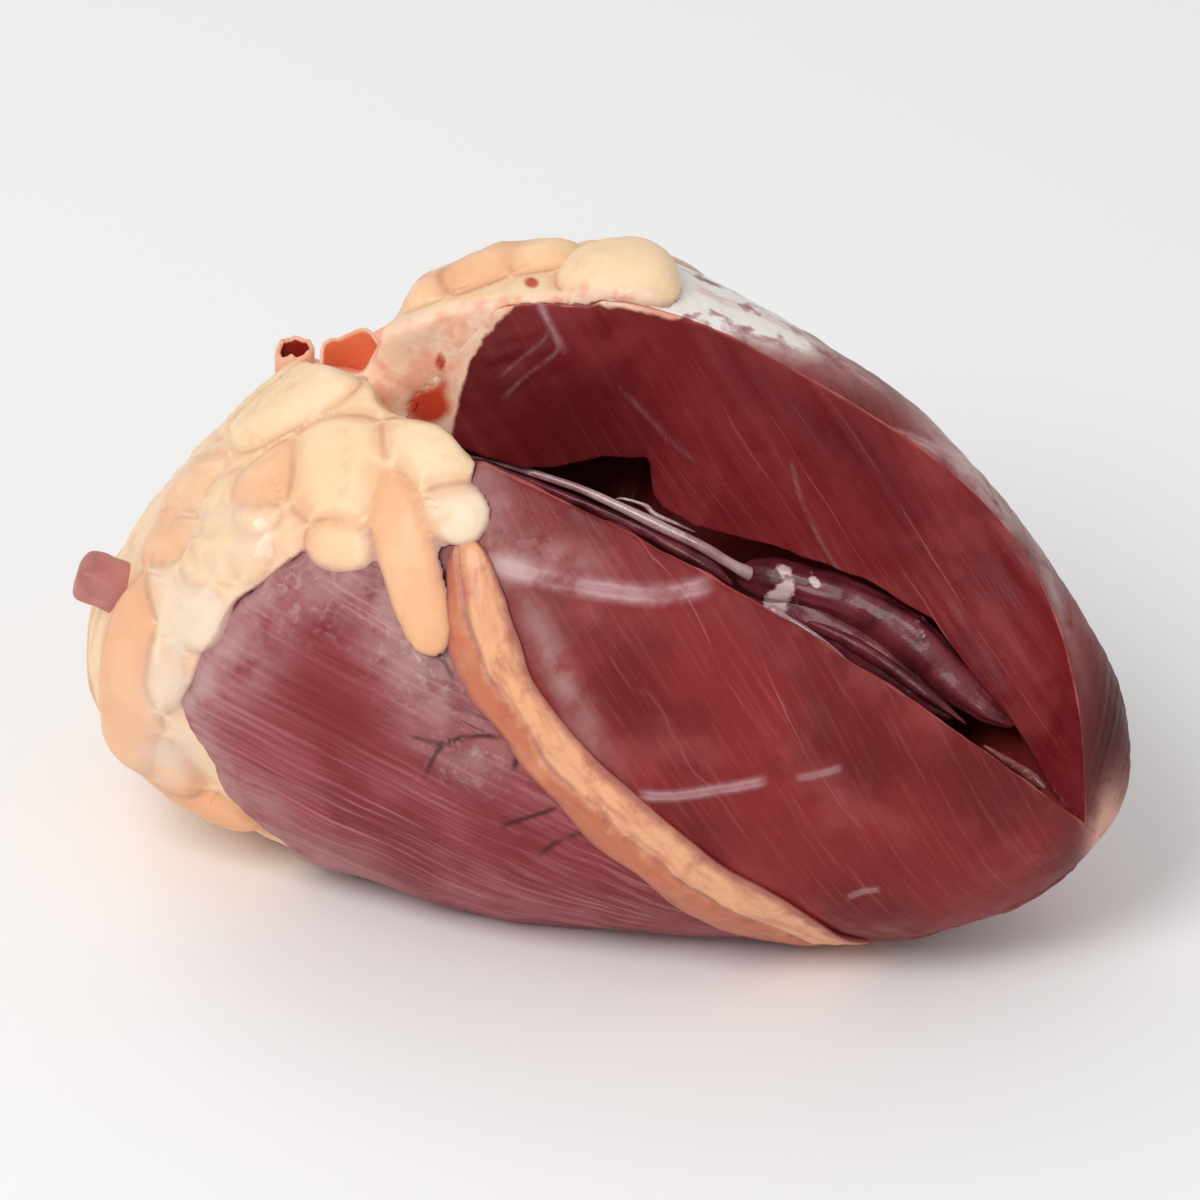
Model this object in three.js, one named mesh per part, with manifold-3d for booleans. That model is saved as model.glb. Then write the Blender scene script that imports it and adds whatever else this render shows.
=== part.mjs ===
// A raw beef heart, trimmed and slit open down the left ventricle, lying on its side.
// Millimetres, +Z up. The heart is laid out in its own show frame: s or u runs along the long
// axis from base to apex, v runs across it and upwards, w comes out of the side with the cut.

import * as THREE from "three";
import { mergeVertices } from "three/addons/utils/BufferGeometryUtils.js";
import Module from "manifold-3d";

const wasm = await Module();
wasm.setup();

// How the heart lies
const LEAN_BACK = THREE.MathUtils.degToRad(30);
const ROLL = THREE.MathUtils.degToRad(20);
const APEX_FORWARD = 0.22;
const FLOOR = -62;

// Body, with its fat on
const HALF_WIDTH = 74;
const DEPTH_RATIO = 0.86;
const BASE_AT = -99;
const WIDEST_AT = -25;
const APEX_AT = 117.5;
const APEX_DROP = 4;
const BASE_SLANT = 0.46;
const MUSCLE_END = -70;
const VENTRICLE = { height: 3.2, station: -30, reach: 42, degrees: -85, spread: 42 };
const FAT_DEPTH = 10;
const FAT_FADE = 8;
const SEAM = 0.35;

// The knife cut, from the base nearly to the apex
const CUT_END = 111.3;
const CUT_WIDEST_AT = 10;
const CUT_OPENING = 48.5;
const CUT_INNER_GAP = 19;
const CUT_FLOOR = 12;
const CAVITY_BULGE = 12;
const FREE_REACH = 110;

// What lies in the hollow, in the show frame
const RIDGE = { from: 20, to: 92, radius: 11, roundness: 0.9 };
const SECOND_RIDGE = { from: [-44, 12, -14], to: [30, 2, -18], radius: 9 };
const TENDON_PATH = [
  [-50, 17, 4],
  [-35, 20, 9],
  [-5, 17.5, 9],
  [24, 14.5, 7],
  [34, 8, 3],
];
const TENDON_RADII = [
  [0, 2.6],
  [0.25, 1.5],
  [0.75, 1.6],
  [1, 3.2],
];

// Rough block of tissue at the base
const STUB_SIZE = [14, 10.5, 11];
const STUB_AT = [-107.5, -35, 22];
const STUB_TURN = [0.3, 0.35, -0.2];

// Groove fat: how far it stands out of its groove and reaches into it
const GROOVE_LIFT = 0.8;
const GROOVE_ROOT = 5;
const FRONT_GROOVE_HEIGHT = 3;
const BACK_GROOVE_HEIGHT = 2.4;

// Mesh steps
const BODY_ROWS = 38;
const OUTER_STEPS = 42;
const FACE_STEPS = 5;
const CAVITY_STEPS = 12;
const FAT_GRID = 5;
const SHORTEST_EDGE = 0.06;
const FAT_BOX = { low: [-128, -92, -78], high: [8, 86, 78] };

const { clamp, lerp, degToRad } = THREE.MathUtils;
const smooth = (x) => THREE.MathUtils.smoothstep(x, 0, 1);

// Value of a closed or open list of [position, value] pairs, eased between neighbours.
function along(pairs, position) {
  const after = pairs.findIndex(([at]) => at >= position);
  if (after <= 0) return pairs.at(after)[1];
  const [fromAt, from] = pairs[after - 1];
  const [toAt, to] = pairs[after];
  return lerp(from, to, smooth((position - fromAt) / (toAt - fromAt)));
}

// Show frame to the frame of the part, with the underside pressed flat by its own weight.
function place([u, v, w], floor = FLOOR) {
  const out = w + APEX_FORWARD * u;
  const right = u * Math.cos(ROLL) + v * Math.sin(ROLL);
  const up = v * Math.cos(ROLL) - u * Math.sin(ROLL);
  const z = up * Math.cos(LEAN_BACK) + out * Math.sin(LEAN_BACK);
  return [
    right,
    up * Math.sin(LEAN_BACK) - out * Math.cos(LEAN_BACK),
    Math.max(z, floor),
  ];
}

// Body form: half width, centre line and slant of the section at station s.
function halfWidth(s) {
  if (s > WIDEST_AT) {
    const x = Math.min(1, (s - WIDEST_AT) / (APEX_AT - WIDEST_AT));
    return HALF_WIDTH * (1 - x ** 1.8) ** 0.53;
  }
  const x = Math.min(1, (WIDEST_AT - s) / (WIDEST_AT - BASE_AT));
  return HALF_WIDTH * Math.sqrt(1 - x ** 2.6);
}

const centreLine = (s) => -APEX_DROP * smooth((s - 40) / 60);
const slant = (s) => BASE_SLANT * smooth((-10 - s) / 60);

// Station of the slanted section that passes through a point of the show plane.
function stationAt(u, v) {
  let station = u;
  for (let pass = 0; pass < 8; pass++) station = u - slant(station) * v;
  return station;
}

// Station up to which the fat collar reaches, for an angle round the body in degrees.
const COLLAR_EDGE = [
  [-180, -30],
  [-120, -28],
  [-85, -34],
  [-65, -46],
  [-50, -58],
  [-30, -63],
  [-10, -60],
  [10, -42],
  [50, -40],
  [75, -18],
  [110, -22],
  [150, -28],
  [180, -30],
];
const collarEdge = (degrees) => along(COLLAR_EDGE, degrees);

// Bulge of the right ventricle, below the front groove.
function ventricleBulge(s, degrees) {
  const along = (s - VENTRICLE.station) / VENTRICLE.reach;
  const round = (degrees - VENTRICLE.degrees) / VENTRICLE.spread;
  return VENTRICLE.height * Math.exp(-(along ** 2) - round ** 2);
}

// Point of the body at station s and angle phi from the show side, raised by lift.
function bodyPoint(s, phi, lift = 0) {
  const degrees = THREE.MathUtils.radToDeg(phi);
  const half = Math.max(0, halfWidth(s) + ventricleBulge(s, degrees) + lift);
  const deep = Math.max(0, halfWidth(s) * DEPTH_RATIO + lift);
  const v = centreLine(s) + half * Math.sin(phi);
  return [s + slant(s) * v, v, deep * Math.cos(phi)];
}

// Point of the muscle's skin, which lies deeper where fat covers it.
function musclePoint(s, phi, grow = 0) {
  const degrees = THREE.MathUtils.radToDeg(phi);
  const covered = smooth((collarEdge(wrapDegrees(degrees)) - s) / FAT_FADE);
  return bodyPoint(s, phi, grow - FAT_DEPTH * covered);
}

function wrapDegrees(degrees) {
  return THREE.MathUtils.euclideanModulo(degrees + 180, 360) - 180;
}

// The cut: heights of its lower and upper outer edges and of its inner edges.
const lowerLip = (u) => 14.2 - 0.135 * u - 0.00085 * u * u;

function cutOpening(u) {
  if (u >= CUT_END) return 0;
  const x = (u - CUT_WIDEST_AT) / (CUT_END - CUT_WIDEST_AT);
  return CUT_OPENING * (x > 0 ? 1 - x ** 5 : Math.max(0.15, 1 - 0.95 * x * x));
}

const upperLip = (u) => lowerLip(u) + cutOpening(u);

function innerGap(u) {
  const toApex = smooth((CUT_END - 3 - u) / 55);
  const toBase = smooth((u + 95) / 80);
  return CUT_INNER_GAP * toApex * toBase;
}

function innerTop(u) {
  const shown = 12.5 * smooth((104 - u) / 60) * lerp(0.22, 1, smooth((u + 48) / 40));
  const notch = 7 * Math.exp(-(((u + 6) / 7) ** 2));
  return lowerLip(u) + shown + notch;
}

// Corners of the cut in the section at station s: lips on the surface, edges at the cavity.
function cutCorners(s) {
  const lipAngle = (height) => {
    let v = 0;
    for (let pass = 0; pass < 6; pass++) v = height(s + slant(s) * v);
    const half = Math.max(halfWidth(s), 1);
    return Math.asin(clamp((v - centreLine(s)) / half, -0.95, 0.95));
  };
  const lowerAngle = lipAngle(lowerLip);
  const upperAngle = Math.max(lipAngle(upperLip), lowerAngle);
  const lower = musclePoint(s, lowerAngle);
  const upper = musclePoint(s, upperAngle);
  const top = innerTop(s + slant(s) * lower[1]);
  const gap = innerGap(s);
  const sunk = clamp((CUT_END - s) / 14, 0, 1) ** 0.6;
  const w = lerp(lower[2], CUT_FLOOR, sunk);
  const inner = (v) => {
    const sunkV = lerp(lower[1], v, Math.min(1, sunk * 1.4));
    return [s + slant(s) * sunkV, sunkV, w];
  };
  return {
    lowerAngle,
    upperAngle,
    lower,
    upper,
    innerUpper: inner(top),
    innerLower: inner(top - gap),
  };
}

// Closed section of the muscle at station s: skin, upper cut face, cavity, lower cut face.
function muscleSection(s) {
  const cut = cutCorners(s);
  const ring = [];
  const turn = 2 * Math.PI - (cut.upperAngle - cut.lowerAngle);
  for (let i = 0; i < OUTER_STEPS; i++) {
    ring.push(musclePoint(s, cut.lowerAngle - (turn * i) / OUTER_STEPS));
  }
  const between = (from, to, x) => from.map((value, axis) => lerp(value, to[axis], x));
  for (let i = 0; i < FACE_STEPS; i++) {
    ring.push(between(cut.upper, cut.innerUpper, i / FACE_STEPS));
  }
  const half = (cut.innerUpper[1] - cut.innerLower[1]) / 2;
  const middle = (cut.innerUpper[1] + cut.innerLower[1]) / 2;
  const room = smooth((s + 62) / 40) * smooth((100 - s) / 35);
  const radius = half + CAVITY_BULGE * room;
  const drop = Math.sqrt(Math.max(0, radius * radius - half * half));
  const start = Math.atan2(drop, half);
  for (let i = 0; i < CAVITY_STEPS; i++) {
    const angle = start - ((Math.PI + 2 * start) * i) / CAVITY_STEPS;
    const v = middle + radius * Math.cos(angle);
    const w = cut.innerUpper[2] - drop + radius * Math.sin(angle);
    ring.push([s + slant(s) * v, v, w]);
  }
  for (let i = 0; i < FACE_STEPS; i++) {
    ring.push(between(cut.innerLower, cut.lower, i / FACE_STEPS));
  }
  return ring;
}

// Closed solid through rings of points, which have equal counts. Its ends are filled flat.
function solidFromRings(rings, fillAxes, floor = FLOOR) {
  const points = rings.flat();
  const count = rings[0].length;
  const faces = [];
  for (let row = 0; row < rings.length - 1; row++) {
    for (let i = 0; i < count; i++) {
      const next = (i + 1) % count;
      const [a, b] = [row * count + i, row * count + next];
      faces.push([a, b, b + count], [a, b + count, a + count]);
    }
  }
  for (const end of [0, rings.length - 1]) {
    const flat = rings[end].map((p) => new THREE.Vector2(p[fillAxes[0]], p[fillAxes[1]]));
    const start = end * count;
    const facesBack = THREE.ShapeUtils.isClockWise(flat) !== (end === 0);
    for (const [a, b, c] of THREE.ShapeUtils.triangulateShape(flat, [])) {
      const face = [start + a, start + b, start + c];
      faces.push(facesBack ? face.reverse() : face);
    }
  }
  return solidFromFaces(
    points.map((point) => place(point, floor)),
    faces,
  );
}

// Manifold solid from placed points and triangles, with coincident points merged.
function solidFromFaces(points, faces) {
  let geometry = new THREE.BufferGeometry();
  geometry.setAttribute("position", new THREE.Float32BufferAttribute(points.flat(), 3));
  geometry.setIndex(faces.flat());
  return solidFromGeometry(geometry);
}

// Manifold solid of a closed geometry, turned to face outwards.
function solidFromGeometry(source) {
  const bare = source.clone().deleteAttribute("normal").deleteAttribute("uv");
  const merged = mergeVertices(bare, 1e-3);
  const index = [...merged.index.array];
  const kept = [];
  for (let i = 0; i < index.length; i += 3) {
    const [a, b, c] = index.slice(i, i + 3);
    if (a !== b && b !== c && c !== a) kept.push(a, b, c);
  }
  const vertProperties = new Float32Array(merged.getAttribute("position").array);
  if (signedVolume(vertProperties, kept) < 0) kept.reverse();
  const triVerts = new Uint32Array(kept);
  return new wasm.Manifold(new wasm.Mesh({ numProp: 3, vertProperties, triVerts }));
}

function signedVolume(positions, index) {
  const at = (i) => new THREE.Vector3().fromArray(positions, 3 * index[i]);
  let volume = 0;
  for (let i = 0; i < index.length; i += 3) {
    volume += at(i).dot(at(i + 1).cross(at(i + 2)));
  }
  return volume;
}

function geometryOf(solid) {
  const mesh = solid.getMesh();
  const geometry = new THREE.BufferGeometry();
  geometry.setAttribute("position", new THREE.BufferAttribute(mesh.vertProperties, 3));
  geometry.setIndex(withoutShortEdges(mesh.vertProperties, mesh.triVerts));
  geometry.computeVertexNormals();
  return geometry;
}

// Triangles of a mesh after the ends of its very short edges have been joined.
function withoutShortEdges(positions, index) {
  const target = Array.from({ length: positions.length / 3 }, (_, i) => i);
  const find = (i) => {
    while (target[i] !== i) i = target[i];
    return i;
  };
  const distance = (a, b) =>
    Math.hypot(...[0, 1, 2].map((axis) => positions[3 * a + axis] - positions[3 * b + axis]));
  for (let i = 0; i < index.length; i += 3) {
    for (const [a, b] of [
      [index[i], index[i + 1]],
      [index[i + 1], index[i + 2]],
      [index[i + 2], index[i]],
    ]) {
      if (distance(a, b) < SHORTEST_EDGE) target[find(a)] = find(b);
    }
  }
  const kept = [];
  for (let i = 0; i < index.length; i += 3) {
    const [a, b, c] = [find(index[i]), find(index[i + 1]), find(index[i + 2])];
    if (a !== b && b !== c && c !== a) kept.push(a, b, c);
  }
  return kept;
}

// The same solid with its skin moved out by the seam width, to cut its neighbours with.
function swollen(solid) {
  const geometry = geometryOf(solid);
  const position = geometry.getAttribute("position");
  const normal = geometry.getAttribute("normal");
  for (let i = 0; i < position.count; i++) {
    const point = new THREE.Vector3().fromBufferAttribute(position, i);
    point.addScaledVector(new THREE.Vector3().fromBufferAttribute(normal, i), SEAM);
    position.setXYZ(i, ...point);
  }
  return solidFromGeometry(geometry);
}

// The largest connected piece of a solid, without the scraps that a cut can leave.
function largestPiece(solid) {
  const pieces = solid.decompose();
  return pieces.reduce((best, piece) => (piece.volume() > best.volume() ? piece : best));
}

// Stations, closer together towards the apex.
function stations() {
  const list = [];
  for (let row = 0; row <= BODY_ROWS; row++) {
    const x = row / BODY_ROWS;
    list.push(lerp(MUSCLE_END, APEX_AT - 0.4, Math.sin((x * Math.PI) / 2) ** 0.9));
  }
  return list;
}

// An egg shape between two points of the show frame, as a closed solid.
function egg(from, to, radius, roundness = 1) {
  const shape = new THREE.SphereGeometry(1, 20, 14);
  const [a, b] = [from, to].map((p) => new THREE.Vector3(...place(p)));
  const axis = b.clone().sub(a);
  const turn = new THREE.Quaternion().setFromUnitVectors(
    new THREE.Vector3(0, 1, 0),
    axis.clone().normalize(),
  );
  const size = new THREE.Vector3(radius, axis.length() / 2, radius * roundness);
  const matrix = new THREE.Matrix4().compose(a.add(b).divideScalar(2), turn, size);
  return solidFromGeometry(shape.applyMatrix4(matrix));
}

// A round strand through points of the show frame, with a radius at each point.
function strand(path, radii, sides = 8, steps = 14) {
  const curve = new THREE.CatmullRomCurve3(path.map((p) => new THREE.Vector3(...p)));
  const frames = curve.computeFrenetFrames(steps);
  const rings = [];
  for (let i = 0; i <= steps; i++) {
    const centre = curve.getPointAt(i / steps);
    const radius = along(radii, i / steps);
    rings.push(
      Array.from({ length: sides }, (_, k) => {
        const angle = (2 * Math.PI * k) / sides;
        return centre
          .clone()
          .addScaledVector(frames.normals[i], radius * Math.cos(angle))
          .addScaledVector(frames.binormals[i], radius * Math.sin(angle))
          .toArray();
      }),
    );
  }
  return solidFromRings(rings, [1, 2]);
}

// Papillary muscle along the floor of the cut, its small neighbour, and the white tendon.
function cavityMuscles() {
  const ridgeStart = [RIDGE.from, lowerLip(RIDGE.from) + 1, 1];
  const ridgeEnd = [RIDGE.to, lowerLip(RIDGE.to) - 3, 3];
  return [
    egg(ridgeStart, ridgeEnd, RIDGE.radius, RIDGE.roundness),
    egg(SECOND_RIDGE.from, SECOND_RIDGE.to, SECOND_RIDGE.radius),
    strand(TENDON_PATH, TENDON_RADII),
  ];
}

function buildMuscle() {
  const body = solidFromRings(stations().map(muscleSection), [1, 2]);
  return largestPiece(cavityMuscles().reduce((whole, piece) => whole.add(piece), body));
}

// The muscle's room among its neighbours: its skin raised by the seam, its cut closed over.
function muscleRoom() {
  const [end, ...others] = stations();
  const rings = [end - SEAM, ...others].map((s) => {
    const { lowerAngle, upperAngle } = cutCorners(s);
    const turn = 2 * Math.PI - (upperAngle - lowerAngle);
    return Array.from({ length: OUTER_STEPS + 1 }, (_, i) =>
      musclePoint(s, lowerAngle - (turn * i) / OUTER_STEPS, SEAM),
    );
  });
  return solidFromRings(rings, [1, 2], FLOOR - 2 * SEAM);
}

// Fat lobes on the show side: [u, v, length, width, proud of the body, turn in degrees].
const SHOW_LOBES = [
  [-56, 56, 40, 25, 6.5, 35],
  [-43, 62, 28, 20, 7, 12],
  [-28.5, 67, 26, 20, 4, -12],
  [-79, 19, 36, 24, 8, 5],
  [-89, 10, 32, 26, 4.5, 40],
  [-67, 6, 30, 28, 5, 10],
  [-81, 3, 22, 20, 4, 0],
  [-51, 17, 27, 18, 4, -10],
  [-39, 6, 19, 15, 4, 25],
  [-46, -7, 33, 14, 4, -50],
  [-60, -11, 22, 14, 3.5, 20],
  [-87, -32, 26, 19, 3, 0],
  [-87, -56, 40, 22, 2, -55],
  [-66, -73, 36, 17, 3, 0],
  [-91, -12, 26, 24, 3, 60],
  [-80, -16, 24, 18, 3.5, 0],
  [-93, -26, 20, 15, 3, 0],
];

// Lobes round the hidden side: one ring along the collar's edge, one nearer the base.
function hiddenLobes() {
  const lobes = [];
  const rings = [
    { count: 7, from: 88, to: 258, station: -34, length: 36, width: 27 },
    { count: 6, from: 70, to: 258, station: -62, length: 38, width: 30 },
    { count: 4, from: 70, to: 245, station: -88, length: 34, width: 28 },
  ];
  for (const [row, ring] of rings.entries()) {
    for (let i = 0; i < ring.count; i++) {
      const uneven = Math.sin(7.3 * i + 2.1 * row);
      const degrees = lerp(ring.from, ring.to, i / (ring.count - 1)) + 5 * uneven;
      lobes.push({
        station: ring.station + 5 * Math.cos(5.1 * i + row),
        degrees,
        length: ring.length * (1 + 0.15 * uneven),
        width: ring.width * (1 - 0.12 * uneven),
        proud: 2.5 + 1.5 * uneven,
        turn: 50 * uneven,
      });
    }
  }
  return lobes;
}

// A show-side lobe in body terms: its station and its angle round the body.
function showLobe([u, v, length, width, proud, turn]) {
  const station = stationAt(u, v);
  const reach = clamp((v - centreLine(station)) / halfWidth(station), -0.99, 0.99);
  const degrees = THREE.MathUtils.radToDeg(Math.asin(reach));
  return { station, degrees, length, width, proud, turn };
}

// Centre, axes and half sizes of a lobe that lies on the body.
function lobeForm({ station, degrees, length, width, proud, turn }) {
  const phi = degToRad(degrees);
  const at = new THREE.Vector3(...bodyPoint(station, phi));
  const alongBody = new THREE.Vector3(...bodyPoint(station + 0.5, phi)).sub(at).normalize();
  const round = new THREE.Vector3(...bodyPoint(station, phi + 0.01)).sub(at).normalize();
  const out = round.clone().cross(alongBody).normalize();
  if (out.dot(new THREE.Vector3(0, at.y, at.z)) < 0) out.negate();
  const long = alongBody.applyAxisAngle(out, degToRad(turn));
  const thick = Math.min(length, width) * 0.42;
  return {
    centre: at.addScaledVector(out, proud - thick),
    axes: [long, out.clone().cross(long), out],
    halves: [length / 2, width / 2, thick],
  };
}

// Signed distance, roughly in millimetres, to a lobe.
function lobeDistance(point, lobe) {
  const from = point.clone().sub(lobe.centre);
  const scaled = lobe.axes.map((axis, k) => from.dot(axis) / lobe.halves[k]);
  return (Math.hypot(...scaled) - 1) * Math.min(...lobe.halves);
}

// Station and angle of a point of the show frame, and how far it is outside the body.
function bodyCoordinates(point) {
  const station = stationAt(point.x, point.y);
  const v = point.y - centreLine(station);
  const phi = Math.atan2(v / HALF_WIDTH, point.z / (HALF_WIDTH * DEPTH_RATIO));
  const half = halfWidth(clamp(station, BASE_AT, APEX_AT));
  const beyond = Math.max(0, BASE_AT - station);
  const outside = Math.hypot(v, point.z / DEPTH_RATIO) - half;
  return { station, degrees: THREE.MathUtils.radToDeg(phi), outside: outside + beyond };
}

// Fat field: below zero inside the fat collar with its lobes.
function fatField() {
  const lobes = [...SHOW_LOBES.map(showLobe), ...hiddenLobes()].map(lobeForm);
  return (u, v, w) => {
    const point = new THREE.Vector3(u, v, w);
    const { station, degrees, outside } = bodyCoordinates(point);
    const bed = Math.max(outside * 0.8 + 1.2, (station - collarEdge(degrees)) * 0.9 + 2);
    const lobed = lobes.reduce((least, lobe) => Math.min(least, lobeDistance(point, lobe)), bed);
    return Math.max(lobed, FLOOR - place([u, v, w], -Infinity)[2]);
  };
}

// Corners and edges of a grid cell.
const CORNERS = Array.from({ length: 8 }, (_, n) => [n & 1, (n >> 1) & 1, n >> 2]);
const EDGES = CORNERS.flatMap((_, n) => [1, 2, 4].filter((bit) => !(n & bit)).map((bit) => [n, n | bit]));

// True where the corners of one kind in a cell hang together by its edges.
function connected(corners) {
  const reached = new Set(corners.slice(0, 1));
  for (const _ of corners) {
    for (const [a, b] of EDGES) {
      if (corners.includes(a) && corners.includes(b) && (reached.has(a) || reached.has(b))) {
        reached.add(a).add(b);
      }
    }
  }
  return reached.size === corners.length;
}

const SIMPLE_CELLS = Array.from({ length: 256 }, (_, mask) => {
  const all = [0, 1, 2, 3, 4, 5, 6, 7];
  const inside = all.filter((n) => mask & (1 << n));
  return connected(inside) && connected(all.filter((n) => !inside.includes(n)));
});

// Field values on a grid, with the cells mended in which the surface would touch itself.
function sampled(field, grid) {
  const values = new Float64Array(grid.total);
  grid.each(0, 0, (i, j, k) => {
    values[grid.key(i, j, k)] = field(...grid.position(i, j, k));
  });
  for (let pass = 0; pass < 6; pass++) {
    grid.each(0, 1, (i, j, k) => {
      const keys = CORNERS.map(([x, y, z]) => grid.key(i + x, j + y, k + z));
      const mask = keys.reduce((sum, at, n) => sum + (values[at] < 0 ? 1 << n : 0), 0);
      if (SIMPLE_CELLS[mask]) return;
      const weakest = keys.reduce((a, b) => (Math.abs(values[b]) < Math.abs(values[a]) ? b : a));
      values[weakest] = -Math.sign(values[weakest]) * 0.3;
    });
  }
  return values;
}

// Grid over a box: the number of its points, their keys and places, and a walk over them.
function makeGrid(low, high, step) {
  const counts = low.map((value, axis) => Math.ceil((high[axis] - value) / step) + 1);
  const [nx, ny, nz] = counts;
  return {
    total: nx * ny * nz,
    key: (i, j, k) => i + nx * (j + ny * k),
    position: (...cell) => cell.map((n, axis) => low[axis] + n * step),
    each(first, short, visit) {
      for (let k = first; k < nz - short; k++)
        for (let j = first; j < ny - short; j++)
          for (let i = first; i < nx - short; i++) visit(i, j, k);
    },
  };
}

// Closed surface where a field crosses zero, with one point in each cell that it crosses.
function surfaceOf(field, low, high, step) {
  const grid = makeGrid(low, high, step);
  const values = sampled(field, grid);
  const points = [];
  const cellPoint = new Map();
  grid.each(0, 1, (i, j, k) => {
    const at = CORNERS.map(([x, y, z]) => values[grid.key(i + x, j + y, k + z)]);
    const crossed = EDGES.filter(([a, b]) => at[a] < 0 !== at[b] < 0);
    if (!crossed.length) return;
    const sum = new THREE.Vector3();
    for (const [a, b] of crossed) {
      const end = new THREE.Vector3(...CORNERS[b]);
      sum.add(new THREE.Vector3(...CORNERS[a]).lerp(end, at[a] / (at[a] - at[b])));
    }
    sum.divideScalar(crossed.length);
    cellPoint.set(grid.key(i, j, k), points.length);
    points.push(place(grid.position(i + sum.x, j + sum.y, k + sum.z)));
  });
  return solidFromFaces(points, cellFaces(values, cellPoint, grid));
}

// Two triangles round every grid edge whose ends lie on different sides of the surface.
function cellFaces(values, cellPoint, grid) {
  const faces = [];
  const axes = [
    [1, 0, 0],
    [0, 1, 0],
    [0, 0, 1],
  ];
  grid.each(1, 1, (...at) => {
    const here = values[grid.key(...at)] < 0;
    axes.forEach((step, axis) => {
      const there = values[grid.key(...at.map((n, k) => n + step[k]))] < 0;
      if (here === there) return;
      const [p, q] = [axes[(axis + 1) % 3], axes[(axis + 2) % 3]];
      const cell = (m, n) => cellPoint.get(grid.key(...at.map((c, k) => c - m * p[k] - n * q[k])));
      const quad = [cell(0, 0), cell(1, 0), cell(1, 1), cell(0, 1)];
      if (!here) quad.reverse();
      faces.push([quad[0], quad[1], quad[2]], [quad[0], quad[2], quad[3]]);
    });
  });
  return faces;
}

// Height of the body's skin over the show plane at a point of that plane.
function skinHeight(u, v) {
  const station = stationAt(u, v);
  const half = halfWidth(clamp(station, BASE_AT + 6, APEX_AT));
  const across = (v - centreLine(station)) / half;
  return DEPTH_RATIO * half * Math.sqrt(Math.max(0.05, 1 - across ** 2));
}

// The space that the knife cut opens through the fat, widened outwards past the skin.
function cutWedge() {
  const rings = [];
  for (let u = -135; u <= 0; u += 9) {
    const top = innerTop(u);
    const opening = Math.max(4, upperLip(u) - top);
    const base = Math.max(u, -55);
    const rise = skinHeight(base, upperLip(base)) - CUT_FLOOR;
    const inner = Math.max(2.5, innerGap(u));
    rings.push([
      [u, top - inner, CUT_FLOOR],
      [u, lowerLip(u), FREE_REACH],
      [u, top + (opening * (FREE_REACH - CUT_FLOOR)) / rise, FREE_REACH],
      [u, top, CUT_FLOOR],
    ]);
  }
  return solidFromRings(rings, [1, 2]);
}

// A round tube between two points of the show frame.
function tube(from, to, outer, inner, steps = 4) {
  const [a, b] = [from, to].map((p) => new THREE.Vector3(...place(p)));
  const length = a.distanceTo(b);
  const rim = (outer - inner) * 0.3;
  const profile = [
    [inner, 0],
    [outer, 0],
    ...Array.from({ length: steps }, (_, i) => [outer - rim * (i / steps) ** 2, length - rim]),
    [(outer + inner) / 2, length],
    [inner, length - rim],
    [inner, 0],
  ];
  return turned(profile, a, b);
}

// A plug that fills a tube's outside, to make room for it in the fat.
function plug(from, to, radius) {
  const [a, b] = [from, to].map((p) => new THREE.Vector3(...place(p)));
  const length = a.distanceTo(b);
  const profile = [
    [0, -SEAM],
    [radius, -SEAM],
    [radius, length + 30],
    [0, length + 30],
  ];
  return turned(profile, a, b);
}

// A profile turned about the line from one point to another.
function turned(profile, from, to) {
  const points = profile.map(([radius, height]) => new THREE.Vector2(radius, height));
  const shape = new THREE.LatheGeometry(points, 20);
  const turn = new THREE.Quaternion().setFromUnitVectors(
    new THREE.Vector3(0, 1, 0),
    to.clone().sub(from).normalize(),
  );
  const one = new THREE.Vector3(1, 1, 1);
  return solidFromGeometry(shape.applyMatrix4(new THREE.Matrix4().compose(from, turn, one)));
}

// Vessels that show at the base: [from, to, outer radius, inner radius].
const AORTA = [[-65, 25, -4], [-73, 32, 10], 9.5, 6.6];
const SMALL_VESSEL = [[-82.5, 17, 3], [-86, 29.5, 8], 4.2, 2.1];

// Groove fat: [station, degrees, half width] along the front groove and the back groove.
const FRONT_GROOVE = [
  [-36, -7, 8.5],
  [-23.6, -17, 8],
  [-9.5, -28.5, 7],
  [9.2, -39, 6.5],
  [33, -51, 7],
  [53, -65, 8.5],
  [70, -80, 6],
];
const BACK_GROOVE = [
  [-26, 150, 8],
  [10, 158, 7.5],
  [50, 169, 7],
  [85, 182, 6.5],
  [101, 195, 6],
  [109, 217, 5.5],
  [113.5, 247, 4.5],
  [115.6, 285, 3.5],
];

// Flat strip of fat that lies in a groove, thickest along its middle.
function grooveFat(path, height, steps, sides) {
  const curve = new THREE.CatmullRomCurve3(path.map((p) => new THREE.Vector3(...p)));
  const surface = (s, degrees, lift) =>
    new THREE.Vector3(...bodyPoint(s, degToRad(degrees), lift));
  const rings = [];
  for (let i = 0; i <= steps; i++) {
    const x = i / steps;
    const here = curve.getPoint(x);
    const ahead = curve.getPoint(Math.min(1, x + 0.01));
    const behind = curve.getPoint(Math.max(0, x - 0.01));
    const centre = surface(here.x, here.y, GROOVE_LIFT);
    const way = surface(ahead.x, ahead.y, 0).sub(surface(behind.x, behind.y, 0)).normalize();
    const out = surface(here.x, here.y, 1).sub(centre).normalize();
    const side = way.clone().cross(out).normalize();
    const taper = Math.min(1, 0.35 + 5 * x, 0.25 + 5 * (1 - x));
    rings.push(
      Array.from({ length: sides }, (_, k) => {
        const angle = (2 * Math.PI * k) / sides;
        const rise = Math.sin(angle) > 0 ? height : GROOVE_ROOT;
        return centre
          .clone()
          .addScaledVector(side, here.z * taper * Math.cos(angle))
          .addScaledVector(out, rise * taper * Math.sin(angle))
          .toArray();
      }),
    );
  }
  return solidFromRings(rings, [1, 2]);
}

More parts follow.
